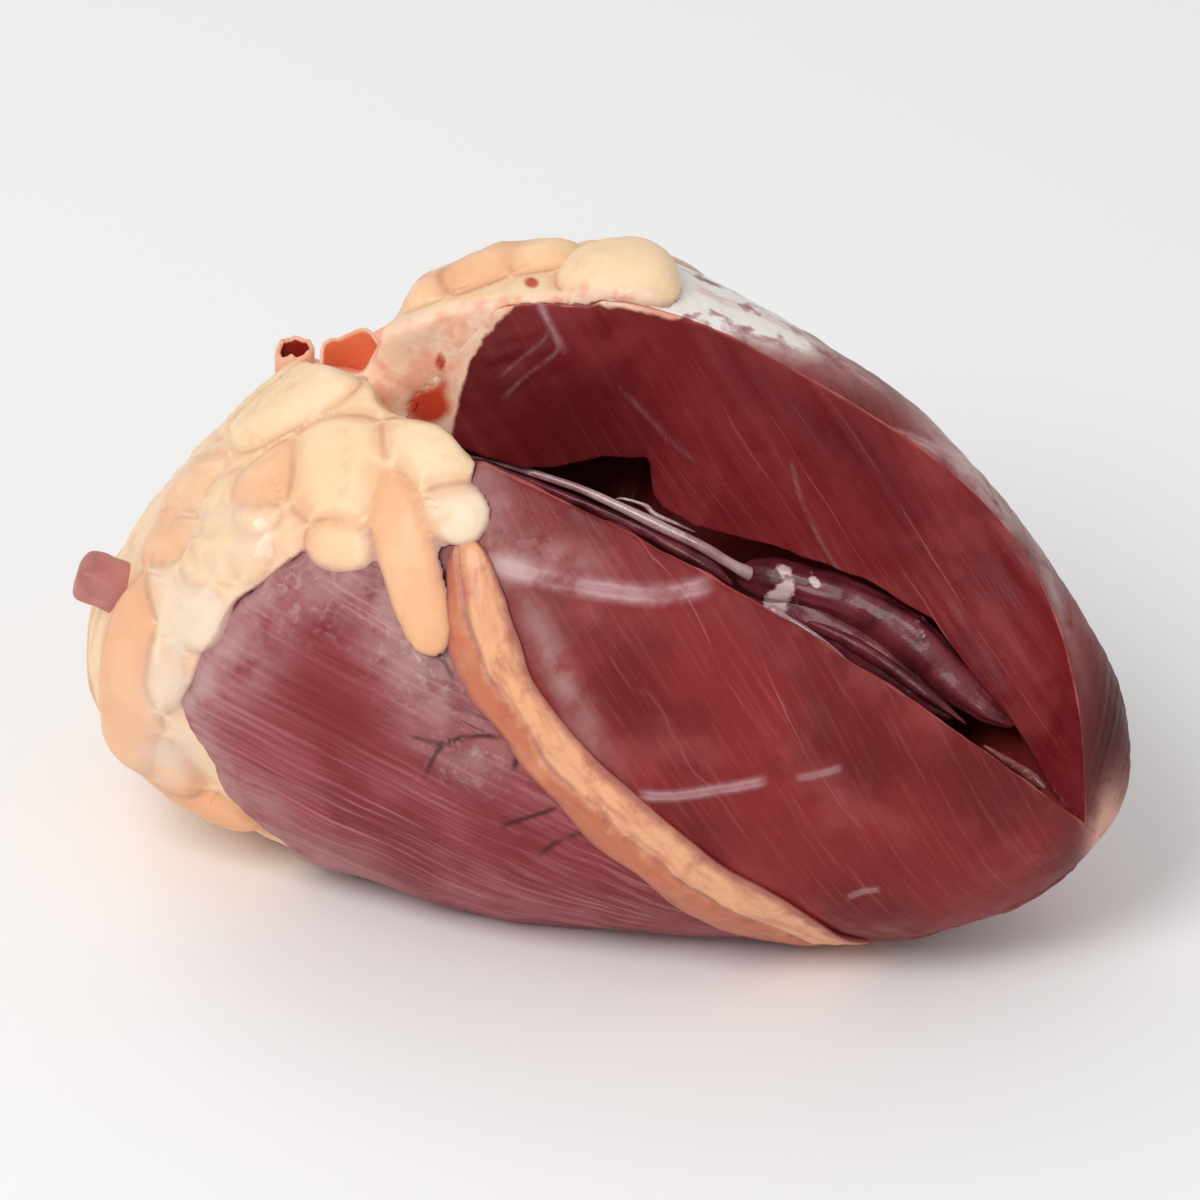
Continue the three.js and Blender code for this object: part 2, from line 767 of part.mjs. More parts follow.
// Rough little block of tissue at the far end of the base.
function tissueStub() {
  const shape = new THREE.BoxGeometry(...STUB_SIZE, 3, 3, 3);
  const position = shape.getAttribute("position");
  for (let i = 0; i < position.count; i++) {
    const point = new THREE.Vector3().fromBufferAttribute(position, i);
    const round = 1 - 0.012 * Math.min(9, (point.lengthSq() / 10) ** 1.1);
    position.setXYZ(i, point.x * round, point.y * round, point.z * round);
  }
  const turn = new THREE.Quaternion().setFromEuler(new THREE.Euler(...STUB_TURN));
  const at = new THREE.Vector3(...place(STUB_AT));
  const one = new THREE.Vector3(1, 1, 1);
  return solidFromGeometry(shape.applyMatrix4(new THREE.Matrix4().compose(at, turn, one)));
}

const MUSCLE_LOOK = { color: 0x7a2226, roughness: 0.35, metalness: 0 };
const FAT_LOOK = { color: 0xf6d6ae, roughness: 0.45, metalness: 0 };
const GROOVE_LOOK = { color: 0xdba06c, roughness: 0.45, metalness: 0 };
const VESSEL_LOOK = { color: 0xe7a27c, roughness: 0.4, metalness: 0 };
const TISSUE_LOOK = { color: 0xb46a62, roughness: 0.45, metalness: 0 };

function buildHeart() {
  const muscle = buildMuscle();
  const aroundMuscle = muscleRoom();
  const wedge = cutWedge();
  const aorta = largestPiece(tube(...AORTA).subtract(wedge).subtract(aroundMuscle));
  const smallVessel = largestPiece(tube(...SMALL_VESSEL).subtract(aroundMuscle));
  const stub = tissueStub();
  const { low, high } = FAT_BOX;
  const field = fatField();
  const fat = surfaceOf(field, low, high, FAT_GRID);
  const aroundFat = surfaceOf((u, v, w) => field(u, v, w) - 1.5 * SEAM, low, high, FAT_GRID);
  const room = [
    aroundMuscle,
    wedge,
    plug(AORTA[0], AORTA[1], AORTA[2] + SEAM),
    plug(SMALL_VESSEL[0], SMALL_VESSEL[1], SMALL_VESSEL[2] + SEAM),
    swollen(stub),
  ];
  const collar = largestPiece(room.reduce((rest, piece) => rest.subtract(piece), fat));
  const beside = [aroundMuscle, aroundFat];
  const groove = (path, height) =>
    largestPiece(
      beside.reduce((rest, piece) => rest.subtract(piece), grooveFat(path, height, 22, 10)),
    );
  return {
    heart_muscle: [muscle, MUSCLE_LOOK],
    fat_collar: [collar, FAT_LOOK],
    front_groove_fat: [groove(FRONT_GROOVE, FRONT_GROOVE_HEIGHT), GROOVE_LOOK],
    back_groove_fat: [groove(BACK_GROOVE, BACK_GROOVE_HEIGHT), GROOVE_LOOK],
    aorta_stub: [aorta, VESSEL_LOOK],
    small_vessel: [smallVessel, VESSEL_LOOK],
    tissue_stub: [stub, TISSUE_LOOK],
  };
}

const heart = new THREE.Group();
for (const [name, [solid, look]] of Object.entries(buildHeart())) {
  const mesh = new THREE.Mesh(geometryOf(solid), new THREE.MeshStandardMaterial(look));
  mesh.name = name;
  heart.add(mesh);
}

// The origin is at the middle of the underside.
const box = new THREE.Box3().setFromObject(heart);
const middle = box.getCenter(new THREE.Vector3());
heart.position.set(-middle.x, -middle.y, -box.min.z);

export default heart;
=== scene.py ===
"""A raw beef heart, slit open down its thick side, lying on a plain pale floor.

The heart is laid out in a show frame, in millimetres: u runs along it from base to apex,
v across it and upwards, and w out of the side with the cut. Placing turns that frame
into the frame of the CAD part, in metres.
"""

import logging
import math
from collections.abc import Callable, Sequence
from dataclasses import dataclass, field
from enum import Enum

import bmesh
import bpy
import numpy as np
from mathutils import Euler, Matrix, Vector

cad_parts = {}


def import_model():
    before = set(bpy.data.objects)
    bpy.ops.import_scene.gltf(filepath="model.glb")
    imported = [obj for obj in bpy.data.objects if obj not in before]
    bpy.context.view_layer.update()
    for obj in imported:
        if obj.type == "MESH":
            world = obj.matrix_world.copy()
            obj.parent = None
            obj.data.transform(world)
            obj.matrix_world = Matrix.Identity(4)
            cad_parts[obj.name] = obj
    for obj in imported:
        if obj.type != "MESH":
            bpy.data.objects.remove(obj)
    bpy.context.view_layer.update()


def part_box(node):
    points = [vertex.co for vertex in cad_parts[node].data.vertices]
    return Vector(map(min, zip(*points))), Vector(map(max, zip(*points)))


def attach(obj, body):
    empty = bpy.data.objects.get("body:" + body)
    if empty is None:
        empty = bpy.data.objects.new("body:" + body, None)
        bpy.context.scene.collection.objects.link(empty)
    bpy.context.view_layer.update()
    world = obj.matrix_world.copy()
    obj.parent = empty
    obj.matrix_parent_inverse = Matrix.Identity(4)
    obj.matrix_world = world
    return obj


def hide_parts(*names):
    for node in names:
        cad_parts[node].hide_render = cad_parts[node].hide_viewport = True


log = logging.getLogger("beef_heart")

MM = 0.001
FAR = 1e9
Array = np.ndarray
Colour = tuple[float, float, float, float]
Material = bpy.types.Material
Node = bpy.types.Node
Piece = bpy.types.Object
Socket = bpy.types.NodeSocket
Sockets = bpy.types.bpy_prop_collection
Table = tuple[tuple[float, ...], ...]
Tree = bpy.types.NodeTree


def smooth(x: Array) -> Array:
    """Eased step from 0 to 1."""
    x = np.clip(x, 0.0, 1.0)
    return x * x * (3 - 2 * x)


def bell(x: Array) -> Array:
    """Bell curve of height 1."""
    return np.exp(-np.square(x))


def along(pairs: Sequence[tuple[float, float]], position: Array) -> Array:
    """Values of a list of (position, value) pairs, eased between neighbours.

    Args:
        pairs: Positions in rising order, each with its value.
        position: Where to read the list.

    Returns:
        One value for each position.
    """
    at, values = np.array(pairs, float).T
    after = np.clip(np.searchsorted(at, position), 1, len(at) - 1)
    x = (position - at[after - 1]) / (at[after] - at[after - 1])
    return values[after - 1] + (values[after] - values[after - 1]) * smooth(x)


def unit(vectors: Array) -> Array:
    """Vectors of length 1, and zero where there is no direction."""
    length = np.linalg.norm(vectors, axis=-1, keepdims=True)
    return vectors / np.maximum(length, 1e-9)


def srgb(red: float, green: float, blue: float) -> Colour:
    """Colour sockets' linear value for a screen colour from 0 to 255.

    Args:
        red: Red from 0 to 255.
        green: Green from 0 to 255.
        blue: Blue from 0 to 255.

    Returns:
        The colour's linear channels, opaque.
    """
    shares = [channel / 255 for channel in (red, green, blue)]
    linear = [c / 12.92 if c <= 0.04045 else ((c + 0.055) / 1.055) ** 2.4 for c in shares]
    return (*linear, 1.0)


class SolidNoise:
    """Smooth noise in space from a seeded lattice of random numbers."""

    def __init__(self, seed: int, cells: int = 24) -> None:
        """Fills a lattice that repeats after so many cells."""
        self.cells = cells
        self.lattice = np.random.default_rng(seed).uniform(-1, 1, (cells, cells, cells))

    def at(self, points: Array, size: float) -> Array:
        """Noise from -1 to 1.

        Args:
            points: Points, with their coordinates in the last axis.
            size: Distance between lattice points.

        Returns:
            One value for each point.
        """
        scaled = points / size
        low = np.floor(scaled).astype(int)
        x = smooth(scaled - low)
        total = np.zeros(points.shape[:-1])
        for corner in np.ndindex(2, 2, 2):
            share = np.prod(np.where(np.array(corner) == 1, x, 1 - x), axis=-1)
            i, j, k = np.moveaxis((low + corner) % self.cells, -1, 0)
            total += share * self.lattice[i, j, k]
        return total

    def layered(self, points: Array, size: float, layers: int = 3) -> Array:
        """Noise with finer and weaker layers on top of it."""
        return sum(self.at(points, size / 2**n) / 2**n for n in range(layers))


@dataclass(frozen=True)
class HeartForm:
    """The heart's overall form and its cut, in millimetres in the show frame."""

    half_width: float = 74.0
    depth_ratio: float = 0.86
    base_at: float = -99.0
    widest_at: float = -25.0
    apex_at: float = 117.5
    apex_drop: float = 4.0
    base_slant: float = 0.46
    muscle_end: float = -70.0
    fat_depth: float = 10.0
    cut_end: float = 111.3
    cut_widest_at: float = 10.0
    cut_opening: float = 48.5
    cut_inner_gap: float = 19.0
    cut_floor: float = 12.0
    cavity_bulge: float = 12.0
    lean_back: float = math.radians(30)
    roll: float = math.radians(20)
    apex_forward: float = 0.22
    floor: float = -62.0
    shown_edge: Table = (
        (-56, 0.6), (-38, 0.6), (-29.6, 1.8), (-23.1, 5.4), (-14.7, 11.3), (-7.5, 14.7), (-5.2, 16),
        (-3.6, 14.4), (-2.4, 11.4), (-0.8, 9), (2, 7.6), (10, 7), (15.3, 8.4), (24.8, 11.1),
        (34.2, 13), (48, 16), (65.4, 16.8), (69, 15), (77, 11.8), (87, 9.2), (94, 6.2),
        (98.3, 3.8), (102, 2), (107, 0.6), (111.3, 0),
    )
    fat_lip: Table = (
        (-75, 7.4), (-69.9, 7.4), (-66.2, 6), (-64.3, 3.7), (-62.5, 2.3), (-57, 2.3), (-53, 3.3),
        (-49.5, 3.5), (-46, 2.4), (-42, 0.3), (-38, 0),
    )
    vessel_notch: Table = (
        (20, -73), (27, -69.5), (37, -69.2), (43, -67.5), (50, -66.6), (55, -64), (62, -56)
    )
    muscle_outline: Table = (
        (-44, 4), (-46.4, 16), (-47.6, 24.8), (-48.3, 33), (-48.1, 40.9), (-46.1, 47.5), (-43.6, 53.2),
        (-37.1, 55.7), (-25.9, 58.4), (-14.2, 61.5), (-6.2, 62.3), (4, 66), (12, 76),
    )
    collar_edge: Table = (
        (-180, -30), (-120, -28), (-85, -34), (-65, -46), (-50, -58), (-30, -63), (-10, -60), (10, -42),
        (50, -40), (75, -18), (110, -22), (150, -28), (180, -30),
    )
    back_groove: Table = (
        (-26, 150), (10, 158), (50, 169), (85, 182), (101, 195), (109, 217), (112.4, 236),
    )

    def half(self, s: Array) -> Array:
        """Half width of the body at station s.

        Args:
            s: Stations.

        Returns:
            Half widths, 0 at both ends.
        """
        apex = np.clip((s - self.widest_at) / (self.apex_at - self.widest_at), 0, 1)
        base = np.clip((self.widest_at - s) / (self.widest_at - self.base_at), 0, 1)
        return self.half_width * (1 - apex**1.8) ** 0.53 * np.sqrt(1 - base**2.6)

    def centre(self, s: Array) -> Array:
        """Height of the section's middle at station s."""
        return -self.apex_drop * smooth((s - 40) / 60)

    def slant(self, s: Array) -> Array:
        """How far a section leans along the axis for each millimetre up."""
        return self.base_slant * smooth((-10 - s) / 60)

    def bulge(self, s: Array, degrees: Array) -> Array:
        """Swelling of the thin right side, below the front groove."""
        return 3.2 * bell((s + 30) / 42) * bell((degrees + 85) / 42)

    def covered(self, s: Array, degrees: Array) -> Array:
        """Share of the fat's depth by which the muscle lies sunk.

        Args:
            s: Stations.
            degrees: Angles round the body.

        Returns:
            Shares from 0 to 1.
        """
        wrapped = (degrees + 180) % 360 - 180
        at_lip = bell((wrapped - 56) / 12) * smooth((s + 76) / 8)
        return smooth((along(self.collar_edge, wrapped) - s) / 8) * (1 - 0.78 * at_lip)

    def surface(self, s: Array, degrees: Array, lift: Array | float = 0.0) -> Array:
        """Points of the body's skin.

        Args:
            s: Stations.
            degrees: Angles round the body from the show side, positive upwards.
            lift: Height above the skin.

        Returns:
            Points in the show frame.
        """
        phi = np.radians(degrees)
        wide = np.maximum(0, self.half(s) + self.bulge(s, degrees) + lift)
        deep = np.maximum(0, self.half(s) * self.depth_ratio + lift)
        v = self.centre(s) + wide * np.sin(phi)
        return np.stack([s + self.slant(s) * v, v, deep * np.cos(phi)], -1)

    def muscle_surface(self, s: Array, degrees: Array, lift: Array | float = 0.0) -> Array:
        """Points of the muscle's skin, which dips under the fat collar."""
        return self.surface(s, degrees, lift - self.fat_depth * self.covered(s, degrees))

    def station(self, u: Array, v: Array) -> Array:
        """Station of the slanted section through a point of the show plane.

        Args:
            u: Places along the show plane.
            v: Heights in it.

        Returns:
            Stations.
        """
        s = u
        for _ in range(8):
            s = u - self.slant(s) * v
        return s

    def coordinates(self, points: Array) -> tuple[Array, Array, Array]:
        """Where points lie round the body.

        Args:
            points: Points in the show frame.

        Returns:
            Station, angle in degrees, and distance outside the skin.
        """
        u, v, w = np.moveaxis(points, -1, 0)
        s = self.station(u, v)
        v = v - self.centre(s)
        degrees = np.degrees(np.arctan2(v, w / self.depth_ratio))
        half = self.half(np.clip(s, self.base_at, self.apex_at))
        outside = np.hypot(v, w / self.depth_ratio) - half + np.maximum(0, self.base_at - s)
        return s, degrees, outside

    def degrees_of(self, s: Array, v: Array) -> Array:
        """Angle at which the skin of station s reaches height v on the show side."""
        reach = (v - self.centre(s)) / np.maximum(self.half(s), 1)
        return np.degrees(np.arcsin(np.clip(reach, -0.99, 0.99)))

    def on_skin(self, u: float, v: float) -> tuple[float, float]:
        """Station and angle of the skin's point over a point of the show plane."""
        s = self.station(np.array(float(u)), np.array(float(v)))
        return float(s), float(self.degrees_of(s, np.array(float(v))))

    def lower_lip(self, u: Array) -> Array:
        """Height of the cut's lower lip."""
        return 14.2 - 0.135 * u - 0.00085 * u * u

    def upper_lip(self, u: Array) -> Array:
        """Height of the cut's upper lip.

        Args:
            u: Places along the show plane.

        Returns:
            Heights.
        """
        x = (u - self.cut_widest_at) / (self.cut_end - self.cut_widest_at)
        share = np.where(x > 0, 1 - np.abs(x) ** 5, np.maximum(0.15, 1 - 0.95 * x * x))
        return self.lower_lip(u) + np.where(u < self.cut_end, self.cut_opening * share, 0)

    def inner_gap(self, u: Array) -> Array:
        """Width of the cut where it opens into the hollow."""
        ease = smooth((self.cut_end - 3 - u) / 55) * smooth((u + 95) / 80)
        return self.cut_inner_gap * ease

    def inner_top(self, u: Array) -> Array:
        """Height of the upper cut face's inner edge."""
        shown = 12.5 * smooth((104 - u) / 60) * (0.22 + 0.78 * smooth((u + 48) / 40))
        return self.lower_lip(u) + shown + 7 * bell((u + 6) / 7)

    def shown_top(self, u: Array) -> Array:
        """Height of the upper cut face's inner edge as the loose muscle hangs."""
        at, rise = np.array(self.shown_edge).T
        return self.lower_lip(u) + np.interp(u, at, rise)

    def past_muscle(self, points: Array) -> Array:
        """Distance past the line on the cut where the muscle ends, below zero on the muscle."""
        return beside_path(points[..., :2], np.array(self.muscle_outline, float))[0]

    def skin_height(self, u: Array, v: Array) -> Array:
        """Height of the skin over the show plane.

        Args:
            u: Places along the show plane.
            v: Heights in it.

        Returns:
            How far the skin stands out of the plane.
        """
        s = self.station(u, v)
        half = self.half(np.clip(s, self.base_at + 6, self.apex_at))
        share = 1 - np.square((v - self.centre(s)) / half)
        return self.depth_ratio * half * np.sqrt(np.maximum(0.05, share))

    def cut_sides(self, points: Array) -> tuple[Array, Array]:
        """How far points are inside the cut's two sides where the knife went through the fat.

        Args:
            points: Points in the show frame.

        Returns:
            Distances from the upper face and from the lower lip, below zero behind them.
        """
        u, v, w = np.moveaxis(points, -1, 0)
        top = self.shown_top(u)
        base = np.maximum(u, -55)
        rise = self.skin_height(base, self.upper_lip(base)) - self.cut_floor
        out = w - self.cut_floor
        steep = np.maximum(4, self.upper_lip(u) - top) / rise
        ceiling = (top + out * steep - v) / np.hypot(1, steep)
        at, over = np.array(self.fat_lip).T
        lip = self.lower_lip(u) + np.interp(u, at, over)
        return np.minimum(ceiling, out), v - lip + 2 * np.clip(1 - out / 25, 0, 1)

    def in_notch(self, points: Array) -> Array:
        """Depth of points inside the open space round the cut vessels, below zero outside it.

        Args:
            points: Points in the show frame.

        Returns:
            Depths.
        """
        u, v, w = np.moveaxis(points, -1, 0)
        at, edge = np.array(self.vessel_notch).T
        return -blended([26.9 - v, u - np.interp(v, at, edge), -(w + 12)], 1.2, -1)

    def upright(self, points: Array) -> Array:
        """Points of the show frame turned upright, in millimetres, not yet shifted.

        Args:
            points: Points in the show frame.

        Returns:
            Upright points.
        """
        u, v, w = np.moveaxis(points, -1, 0)
        out = w + self.apex_forward * u
        right = u * math.cos(self.roll) + v * math.sin(self.roll)
        up = v * math.cos(self.roll) - u * math.sin(self.roll)
        deep = up * math.sin(self.lean_back) - out * math.cos(self.lean_back)
        high = up * math.cos(self.lean_back) + out * math.sin(self.lean_back)
        return np.stack([right, deep, high], -1)

    def settled(self, points: Array) -> Array:
        """Upright points with the underside pressed flat.

        Args:
            points: Points in the show frame.

        Returns:
            Upright points, none below the floor.
        """
        placed = self.upright(points)
        placed[..., 2] = np.maximum(placed[..., 2], self.floor)
        return placed


class Placing:
    """Moves the show frame's points to the CAD part's frame."""

    def __init__(self, form: HeartForm) -> None:
        """Finds the shift from the CAD muscle's box.

        Args:
            form: The heart's form.
        """
        self.form = form
        s = np.linspace(form.muscle_end, form.apex_at, 300)[:, None]
        degrees = np.linspace(-180, 180, 721)[None, :]
        skin = form.settled(form.muscle_surface(s, degrees)).reshape(-1, 3)
        low, high = (np.array(corner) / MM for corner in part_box("heart_muscle"))
        self.shift = np.array([high[0] - skin[:, 0].max(), low[1] - skin[:, 1].min(), -form.floor])
        log.info("show frame's origin is at %s mm", np.round(self.shift, 2))

    def to_part(self, points: Array) -> Array:
        """Points of the part's frame, in metres, for points of the show frame."""
        return (self.form.settled(points) + self.shift) * MM


def new_object(name: str, points: Array, faces: list, traits: dict[str, Array]) -> Piece:
    """Makes a smooth mesh object.

    Args:
        name: The object's name.
        points: Its points, in metres in the part's frame.
        faces: Point numbers of each face.
        traits: Number for each point by attribute name, read by its material.

    Returns:
        The object, linked to the scene.
    """
    mesh = bpy.data.meshes.new(name)
    mesh.from_pydata(points.tolist(), [], faces)
    for trait, values in traits.items():
        layer = mesh.attributes.new(trait, "FLOAT", "POINT")
        layer.data.foreach_set("value", np.asarray(values, np.float32).ravel())
    mesh.shade_smooth()
    made = bpy.data.objects.new(name, mesh)
    bpy.context.scene.collection.objects.link(made)
    return made


def weld(made: Piece, distance: float) -> None:
    """Joins coincident points of an object and turns its faces outwards.

    Args:
        made: The object.
        distance: Points closer than this are joined, in metres.
    """
    work = bmesh.new()
    work.from_mesh(made.data)
    bmesh.ops.remove_doubles(work, verts=work.verts, dist=distance)
    bmesh.ops.dissolve_degenerate(work, edges=work.edges, dist=distance * 0.5)
    bmesh.ops.recalc_face_normals(work, faces=work.faces)
    work.to_mesh(made.data)
    work.free()


def grid_faces(rows: int, columns: int, last_end: bool = True) -> list[tuple[int, ...]]:
    """Faces of a tube of rows of points that each close on themselves, with its ends filled.

    Args:
        rows: Number of rows.
        columns: Number of points in each row.
        last_end: Whether the last row is filled too.

    Returns:
        Faces as tuples of point numbers.
    """
    row, column = np.meshgrid(np.arange(rows - 1), np.arange(columns), indexing="ij")
    a = row * columns + column
    b = row * columns + (column + 1) % columns
    quads = np.stack([a, b, b + columns, a + columns], -1).reshape(-1, 4)
    faces = [tuple(quad) for quad in quads.tolist()]
    faces.append(tuple(range(columns - 1, -1, -1)))
    if last_end:
        faces.append(tuple(range((rows - 1) * columns, rows * columns)))
    return faces


def tube(
    name: str, points: Array, traits: dict[str, Array], joined: float = 2e-6, last_end: bool = True
) -> Piece:
    """Makes an object of rows of points that each close on themselves.

    Args:
        name: The object's name.
        points: Its rows of points, in metres in the part's frame.
        traits: Number for each point by attribute name.
        joined: Points closer than this are joined, in metres, or 0 to leave them.
        last_end: Whether the last row is filled.

    Returns:
        The object, linked to the scene.
    """
    faces = grid_faces(*points.shape[:2], last_end)
    made = new_object(name, points.reshape(-1, 3), faces, traits)
    if joined:
        weld(made, joined)
    return made


def beside_path(points: Array, path: Array) -> tuple[Array, Array]:
    """Signed distance from points to a line through a few points.

    Args:
        points: Points of a plane or of space.
        path: The line's points, of the same dimension.

    Returns:
        Distance, above zero on the line's left in the first two coordinates, and how far
        along the line the nearest point is, from 0 to 1.
    """
    best = np.full(points.shape[:-1], FAR)
    where, side = np.zeros_like(best), np.ones_like(best)
    for n, (start, end) in enumerate(zip(path[:-1], path[1:])):
        way, offset = end - start, points - start
        x = np.clip((offset @ way) / (way @ way), 0, 1)
        away = np.linalg.norm(offset - x[..., None] * way, axis=-1)
        closer = away < best
        left = np.where(way[0] * offset[..., 1] > way[1] * offset[..., 0], 1.0, -1.0)
        side = np.where(closer, left, side)
        where = np.where(closer, (n + x) / (len(path) - 1), where)
        best = np.minimum(best, away)
    return best * side, where


def eased_path(points: Sequence[tuple[float, ...]], steps: int) -> Array:
    """Smooth curve through a few points, evenly stepped in its own parameter.

    Args:
        points: The points that it passes.
        steps: Number of steps.

    Returns:
        Points of the curve.
    """
    p = np.array(points, float)
    p = np.vstack([2 * p[0] - p[1], p, 2 * p[-1] - p[-2]])
    t = np.linspace(0, len(points) - 1 - 1e-9, steps)
    i = t.astype(int)
    x = (t - i)[:, None]
    a, b, c, d = p[i], p[i + 1], p[i + 2], p[i + 3]
    bend, twist = 2 * a - 5 * b + 4 * c - d, 3 * (b - c) + d - a
    return 0.5 * (2 * b + (c - a) * x + bend * x**2 + twist * x**3)


def blended(values: Sequence[Array], width: float, sign: int) -> Array:
    """Least or greatest of a few values, rounded off where they meet.

    Args:
        values: The values.
        width: How wide the rounding is.
        sign: 1 for the least, -1 for the greatest.

    Returns:
        The rounded value.
    """
    scaled = [sign * value / width for value in values]
    least = scaled[0]
    for value in scaled[1:]:
        least = np.minimum(least, value)
    total = sum(np.exp(np.maximum(least - value, -40)) for value in scaled)
    return sign * width * (least - np.log(total))


class Zone(Enum):
    """Stretches of the muscle's section, in their order round it."""

    SKIN = 0
    UPPER_FACE = 1
    HOLLOW = 2
    LOWER_FACE = 3


@dataclass(frozen=True)
class Lobe:
    """A pillow of fat that lies on the body."""

    station: float
    degrees: float
    length: float
    width: float
    proud: float
    turn: float
    warmth: float = 0.0
    thickness: float = 0.42

    def frame(self, form: HeartForm) -> tuple[Array, Array, Array]:
        """Centre, axes and half sizes of the lobe.

        Args:
            form: The body that it lies on.

        Returns:
            The centre, three axes as rows, and the half size along each.
        """
        s, d = np.array(self.station), np.array(self.degrees)
        at = form.surface(s, d)
        way = unit(form.surface(s + 0.5, d) - at)
        around = unit(form.surface(s, d + 0.573) - at)
        out = unit(np.cross(around, way))
        if out @ np.array([0, at[1], at[2]]) < 0:
            out = -out
        angle = math.radians(self.turn)
        long = way * math.cos(angle) + np.cross(out, way) * math.sin(angle)
        long = unit(long + out * (out @ way) * (1 - math.cos(angle)))
        thick = min(self.length, self.width) * self.thickness
        centre = at + out * (self.proud - thick)
        axes = np.stack([long, np.cross(out, long), out])
        return centre, axes, np.array([self.length / 2, self.width / 2, thick])


@dataclass
class FatField:
    """Distance field of the fat collar: its bed and its lobes, over the muscle under it."""

    form: HeartForm
    bed_rise: float = 1.6
    blend: float = 0.7
    power: float = 2.4
    shown_lobes: Table = (
        (-60.5, 50.5, 25, 22, 7, 60, 0.25),
        (-50.5, 58.6, 30, 19, 7.4, 30, 0.5),
        (-40, 64.5, 20, 17, 6.6, 10, 0.4),
        (-25, 67, 27.5, 26, 6.6, 8, -0.1),
        (-81, 18, 36, 24, 7.5, 36, -0.2),
        (-89, 15, 25, 19, 6.5, 55, -0.1),
        (-66.6, 6.4, 33, 30, 3.8, 10, 0.1),
        (-50.5, 16.5, 27, 23, 3.6, -12, -0.2),
        (-40.2, 5.6, 18, 16, 3, -8, -0.7),
        (-44.6, -8.6, 40, 14.5, 3.2, -54, 0.7),
        (-60.5, -9.5, 17, 14, 2.2, 10, 0.3),
        (-80, -1.5, 22, 18, 3.4, 60, 0.5),
        (-96.5, -9, 22, 19, 3.4, 50, 0.3),
        (-96.5, -21.4, 21, 18, 3, 20, 0.4),
        (-83.5, -16.5, 22, 16, 2, 0, 0.15),
        (-90, -33, 26, 17, 2.6, 6, -0.75),
        (-90, -47.6, 21, 15, 1.2, -62, -0.8),
        (-96, -53, 46, 22, 2.8, -57, 0.5),
        (-84, -66, 30, 17, 2.4, -42, 0.6),
        (-70, -73.6, 34, 15, 2.2, -12, 0.7),
    )
    hidden_rings: Table = (
        (8, 103, 258, -37, 42, 32),
        (7, 96, 254, -60, 44, 36),
        (6, 92, 250, -82, 42, 34),
    )

    def __post_init__(self) -> None:
        """Lays out the lobes."""
        lobes = [*self.shown(), *self.hidden(), *self.small()]
        self.frames = [lobe.frame(self.form) for lobe in lobes]
        self.warmth = np.array([lobe.warmth for lobe in lobes] + [0.0])

    def shown(self) -> list[Lobe]:
        """Lobes of the side with the cut, given by their place in the show plane."""
        return [Lobe(*self.form.on_skin(u, v), *rest) for u, v, *rest in self.shown_lobes]

    def hidden(self) -> list[Lobe]:
        """Three rings of lobes round the hidden side.

        Returns:
            The lobes.
        """
        lobes = []
        for row, (count, start, end, middle, length, width) in enumerate(self.hidden_rings):
            for i in range(count):
                uneven = math.sin(7.3 * i + 2.1 * row)
                station = middle + 5 * math.cos(5.1 * i + row)
                degrees = start + (end - start) * i / (count - 1) + 5 * uneven
                size = length * (1 + 0.15 * uneven), width * (1 - 0.12 * uneven)
                proud = 2.2 + 2.8 * math.sin(math.pi * i / (count - 1)) + 0.8 * uneven
                lobes.append(Lobe(station, degrees, *size, proud, 50 * uneven, 0.4 * uneven))
        return lobes

    def small(self) -> list[Lobe]:
        """Small lobules between the large lobes, and on the wrinkled far left.

        Returns:
            The lobes.
        """
        rng = np.random.default_rng(5)
        lobes = []
        for u, v in rng.uniform((-98, -26), (-76, -6), (7, 2)):
            size = rng.uniform(8, 12)
            proud = rng.uniform(1.4, 2.4)
            turn = rng.uniform(0, 180)
            lobes.append(Lobe(*self.form.on_skin(u, v), size * 1.3, size, proud, turn, 0.1))
        for _ in range(16):
            station, degrees = rng.uniform((-92, 95), (-34, 262))
            size = rng.uniform(11, 17)
            proud = rng.uniform(1.5, 3.2)
            turn = rng.uniform(0, 180)
            lobes.append(Lobe(station, degrees, size * 1.4, size, proud, turn, rng.uniform(-0.3, 0.4)))
        return lobes

    def nearest(self, points: Array) -> tuple[Array, Array, Array, Array]:
        """Signed distance to the collar before anything is cut from it.

        Args:
            points: Points in the show frame.

        Returns:
            Distance to the blended lobes, signed distance to the crease between the two
            nearest ones, how much farther the third one is, and the nearest lobe's number.
        """
        s, degrees, outside = self.form.coordinates(points)
        wrapped = (degrees + 180) % 360 - 180
        edge = along(self.form.collar_edge, wrapped)
        bed = outside * 0.8 + 1.2 - self.bed_rise * smooth((edge - s) / 16)
        first = np.maximum(bed, (s - edge) * 0.9 + 2)
        total = np.exp(-first / self.blend)
        second, third = first + 30, first + 60
        number = np.full(first.shape, len(self.frames))
        other = number.copy()
        for n, (centre, axes, halves) in enumerate(self.frames):
            scaled = np.abs((points - centre) @ axes.T) / halves
            away = (np.power(np.power(scaled, self.power).sum(-1), 1 / self.power) - 1) * halves.min()
            total += np.exp(-np.clip(away, -30, 60) / self.blend)
            closer, next_one = away < first, away < second
            other = np.where(closer, number, np.where(next_one, n, other))
            third = np.where(next_one, second, np.minimum(third, away))
            second = np.where(closer, first, np.minimum(second, away))
            number = np.where(closer, n, number)
            first = np.where(closer, away, first)
        united = -self.blend * np.log(np.maximum(total, 1e-30))
        return united, (second - first) * np.where(number < other, 1.0, -1.0), third - second, number

